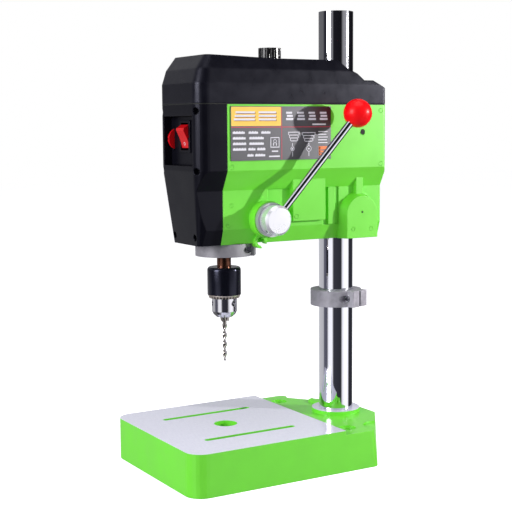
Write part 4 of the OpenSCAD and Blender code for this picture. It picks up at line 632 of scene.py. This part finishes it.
def chuck():
    bm = bmesh.new()
    side = [(SLEEVE_R - inward, SLEEVE_TOP - down) for inward, down in SHOULDER]
    turned(bm, [(CROWN_IN, SLEEVE_LOW), (SLEEVE_R, SLEEVE_LOW), *side, (CAP_R, SLEEVE_TOP),
                (CAP_R, SLEEVE_TOP - CAP_SUNK), (CROWN_IN, SLEEVE_TOP - CAP_SUNK)])
    piece("chuck_shell", bm, "sleeve", "sleeve", ["chuck_sleeve"])
    bm = bmesh.new()
    side = [(SLEEVE_R - inward, SLEEVE_LOW - down) for inward, down in BAND]
    turned(bm, [(CROWN_IN, SLEEVE_LOW - BAND_LOW), *side, (CROWN_IN, SLEEVE_LOW - BAND_HIGH)])
    for k in range(TEETH):
        tooth(bm, 2 * math.pi * k / TEETH)
    piece("chuck_teeth", bm, "teeth", "sleeve")
    # the crown's root is a real ring, and its dark steel finish is painted shade for the gaps
    # between the teeth
    bm = bmesh.new()
    bore = CROWN_IN + ROOT_IN
    turned(bm, [(bore, CROWN_LOW), (CROWN_R - ROOT_FOOT, CROWN_LOW),
                (SLEEVE_R - ROOT_HEAD, SLEEVE_LOW - ROOT_TOP), (bore, SLEEVE_LOW - ROOT_TOP)])
    piece("crown_root", bm, "dark_steel", "sleeve")


chuck()


# Twist drill under the chuck
BIT_TIP, BIT_R, BIT_WEB = 112.3, 2.7, 0.81
FLUTE_TURNS, FLUTE_LONG, FLUTE_STEPS = 1.9, 38.0, 96
POINT_FROM, POINT_DROP, POINT_SHARE = 2.2, 2.15, 0.12
SHANK = ((0.0, 151.2), (1.9, 151.2), (2.1, 152.0), (2.1, 168), (0.0, 168))
CRISP_FLUTE = 40


def drill():
    bm = bmesh.new()
    foot = BIT_TIP + POINT_FROM
    place = Matrix.Translation((0, 0, foot)) @ Matrix.Diagonal((BIT_R, BIT_WEB, 1, 1))
    bmesh.ops.create_circle(bm, cap_ends=True, segments=16, radius=1, matrix=place)
    bmesh.ops.spin(bm, geom=bm.faces[:], cent=(0, 0, 0), axis=AXES["Z"], steps=FLUTE_STEPS,
                   angle=-2 * math.pi * FLUTE_TURNS, dvec=(0, 0, FLUTE_LONG / FLUTE_STEPS))
    cap = [f for f in bm.faces if all(v.co.z < foot + SAME_POINT / MM for v in f.verts)]
    moved = bmesh.ops.extrude_face_region(bm, geom=cap)["geom"]
    ends = [v for v in moved if isinstance(v, bmesh.types.BMVert)]
    bmesh.ops.scale(bm, vec=(POINT_SHARE, POINT_SHARE, 1), verts=ends)
    bmesh.ops.translate(bm, vec=(0, 0, -POINT_DROP), verts=ends)
    turned(bm, SHANK, closed=False)
    piece("twist_drill", bm, "drill", "spindle", ["drill_bit"], CRISP_FLUTE)


drill()


# Rocker: a leaning wedge with a hollowed face
ROCKER_HALF = 8.2
ROCKER_BACK = ((-41.2, 341.0), (-41.2, 363.2), (-44.4, 364.0), (-50.0, 360.4))  # depth, height
FACE_TOP, FACE_RUN, FACE_HOLLOW = (-50.6, 358.4), (7.1, -18.6), 0.9
FACE_STEPS = 12
MARK_AT, MARK_LEAN, MARK_R, MARK_THICK = 0.76, math.radians(-72), 1.5, 0.22
CRISP_ROCKER, ROCKER_EDGE = 30, 0.5


def rocker_face(t):
    """Depth and height on the rocker's hollowed face, from its top edge to its foot."""
    sag = FACE_HOLLOW * math.sin(math.pi * t)
    return FACE_TOP[0] + FACE_RUN[0] * t + sag, FACE_TOP[1] + FACE_RUN[1] * t


def rocker():
    bm = bmesh.new()
    outline = [*ROCKER_BACK, *(rocker_face(k / FACE_STEPS) for k in range(FACE_STEPS + 1))]
    face = bm.faces.new([bm.verts.new((-ROCKER_HALF, y, z)) for y, z in outline])
    grown = bmesh.ops.extrude_face_region(bm, geom=[face])["geom"]
    bmesh.ops.translate(bm, vec=(2 * ROCKER_HALF, 0, 0),
                        verts=[v for v in grown if isinstance(v, bmesh.types.BMVert)])
    piece("rocker_cap", bm, "red", "rocker", ["rocker"], CRISP_ROCKER,
          ROCKER_EDGE)
    bm = bmesh.new()
    hoop(bm, (0, 0, 0), MARK_R, MARK_THICK, "Z")
    place = Matrix.Translation((0, *rocker_face(MARK_AT))) @ Matrix.Rotation(MARK_LEAN, 4, "X")
    bmesh.ops.transform(bm, verts=bm.verts, matrix=place)
    piece("rocker_mark", bm, "pale_ink", "rocker")


rocker()


# Studio: panels that the chrome mirrors, as turn in degrees and brightness
PANELS = ((-180, 0.62), (-128, 0.55), (-119, 0.12), (-95, 0.10), (-84, 1.1), (-60, 1.15),
          (-50, 0.045), (2, 0.03), (13, 1.0), (30, 1.4), (55, 1.25), (66, 0.03), (112, 0.03),
          (128, 0.7), (180, 0.62))
DARK_PANEL, DARK_BLUE, LIGHT_BLUE = 0.2, 1.3, 1.02
ROOM = (0.43, 0.43, 0.46, 1)
WHITE = (1, 1, 1, 1)


def world():
    w = bpy.data.worlds.new("studio")
    w.use_nodes = True
    scene.world = w
    g = Graph(w.node_tree)
    path = g.node("ShaderNodeLightPath")
    at = g.node("ShaderNodeTexCoord").outputs["Generated"]
    x, y, height = g.node("ShaderNodeSeparateXYZ", {0: at}).outputs[:3]
    turn = g.math("MULTIPLY", g.math("ARCTAN2", y, x), 180 / math.pi)
    panels = g.node("ShaderNodeValToRGB", {0: g.math("DIVIDE", g.math("ADD", turn, 180), 360)})
    stops = panels.color_ramp.elements
    while len(stops) < len(PANELS):
        stops.new(0.5)
    for stop, (angle, value) in zip(stops, PANELS):
        stop.position = (angle + 180) / 360
        stop.color = (value, value, value * (DARK_BLUE if value < DARK_PANEL else LIGHT_BLUE), 1)
    # the panels dim with height, but for the high ones in front and the wall behind
    front = g.math("MULTIPLY", g.span(y, 1.0, 0.0, -0.5, -0.25),
                   g.span(height, 0.0, 1.0, 0.2, 0.35))
    behind = g.math("MULTIPLY", g.span(x, 0.8, 0.0, -0.6, -0.3),
                    g.span(height, 0.0, 1.0, 0.14, 0.22))
    dimmed = g.math("MULTIPLY", g.span(height, 1.0, 0.26, -0.1, 0.03),
                    g.span(height, 1.0, 0.12, 0.34, 0.62))
    over = g.math("MAXIMUM", dimmed, g.math("MAXIMUM", front, behind))
    under = g.span(height, 0.25, 1.0, -0.5, -0.22)
    mirrored = g.scaled(panels.outputs[0], g.math("MULTIPLY", over, under))
    lit = g.mix(path.outputs["Is Glossy Ray"], ROOM, mirrored)
    seen = g.mix(path.outputs["Is Camera Ray"], lit, WHITE)
    background = g.node("ShaderNodeBackground", {0: seen, 1: 1.0})
    g.node("ShaderNodeOutputWorld", {0: background.outputs[0]})


def lamp(name, at, aim, size, watts, colour=(1, 1, 1)):
    data = bpy.data.lights.new(name, "AREA")
    data.shape, data.size, data.energy, data.color = "SQUARE", size, watts, colour
    made = bpy.data.objects.new(name, data)
    made.location = at
    made.rotation_euler = (Vector(aim) - Vector(at)).to_track_quat("-Z", "Y").to_euler()
    scene.collection.objects.link(made)


PAPER_DARK, PAPER_LIGHT = (0.86, 0.86, 0.87, 1), (0.88, 0.88, 0.88, 1)
PAPER_GLOW = 0.62
BOUNCE = (0.42, 0.42, 0.44, 1)


def studio_paper():
    """Floor that reads white to the camera and keeps the object's shadow."""
    m = bpy.data.materials.new("studio_paper")
    m.use_nodes = True
    g = Graph(m.node_tree)
    at = g.node("ShaderNodeTexCoord").outputs["Object"]
    patch = g.node("ShaderNodeTexNoise", {"Vector": at, "Scale": 3.0}).outputs[0]
    tone = g.mix(g.span(patch, 0, 1), PAPER_DARK, PAPER_LIGHT)
    lit = g.node("ShaderNodeBsdfDiffuse", {"Color": tone}).outputs[0]
    glow = g.node("ShaderNodeEmission", {"Color": WHITE, "Strength": PAPER_GLOW}).outputs[0]
    seen = g.node("ShaderNodeAddShader", {0: lit, 1: glow}).outputs[0]
    bounce = g.node("ShaderNodeBsdfDiffuse", {"Color": BOUNCE}).outputs[0]
    camera_ray = g.node("ShaderNodeLightPath").outputs["Is Camera Ray"]
    mixed = g.node("ShaderNodeMixShader", {0: camera_ray, 1: bounce, 2: seen}).outputs[0]
    g.node("ShaderNodeOutputMaterial", {0: mixed})
    return m


KEY_AIM = (45, 84, 368)          # the label's corner that the ball shades, in millimetres
KEY_WAY = Vector((27.2, 37.3, 6.5))  # from the ball's shadow to the ball
KEY_AWAY, KEY_SIZE, KEY_WATTS = 1.3, 0.03, 15.5
KEY_COLOUR, FILL_COLOUR = (1, 0.99, 0.97), (0.98, 0.98, 1)
MIDDLE = (0, 0, 0.2)
FLOOR_HALF = 6


def studio():
    world()
    label = (Vector(KEY_AIM) + SHIFT) * MM
    key = label + KEY_WAY.normalized() * KEY_AWAY
    lamp("key", key, label, KEY_SIZE, KEY_WATTS, KEY_COLOUR)
    lamp("front", (0.2, -1.7, 0.75), MIDDLE, 0.8, 27, FILL_COLOUR)
    lamp("top", (0.3, 0, 1.9), MIDDLE, 1.2, 9, FILL_COLOUR)
    mesh = bpy.data.meshes.new("floor")
    bm = bmesh.new()
    bmesh.ops.create_grid(bm, x_segments=1, y_segments=1, size=FLOOR_HALF)
    bm.to_mesh(mesh)
    bm.free()
    mesh.materials.append(studio_paper())
    floor = bpy.data.objects.new("floor", mesh)
    floor.visible_glossy = False
    scene.collection.objects.link(floor)


studio()
scene.view_settings.view_transform = "Standard"
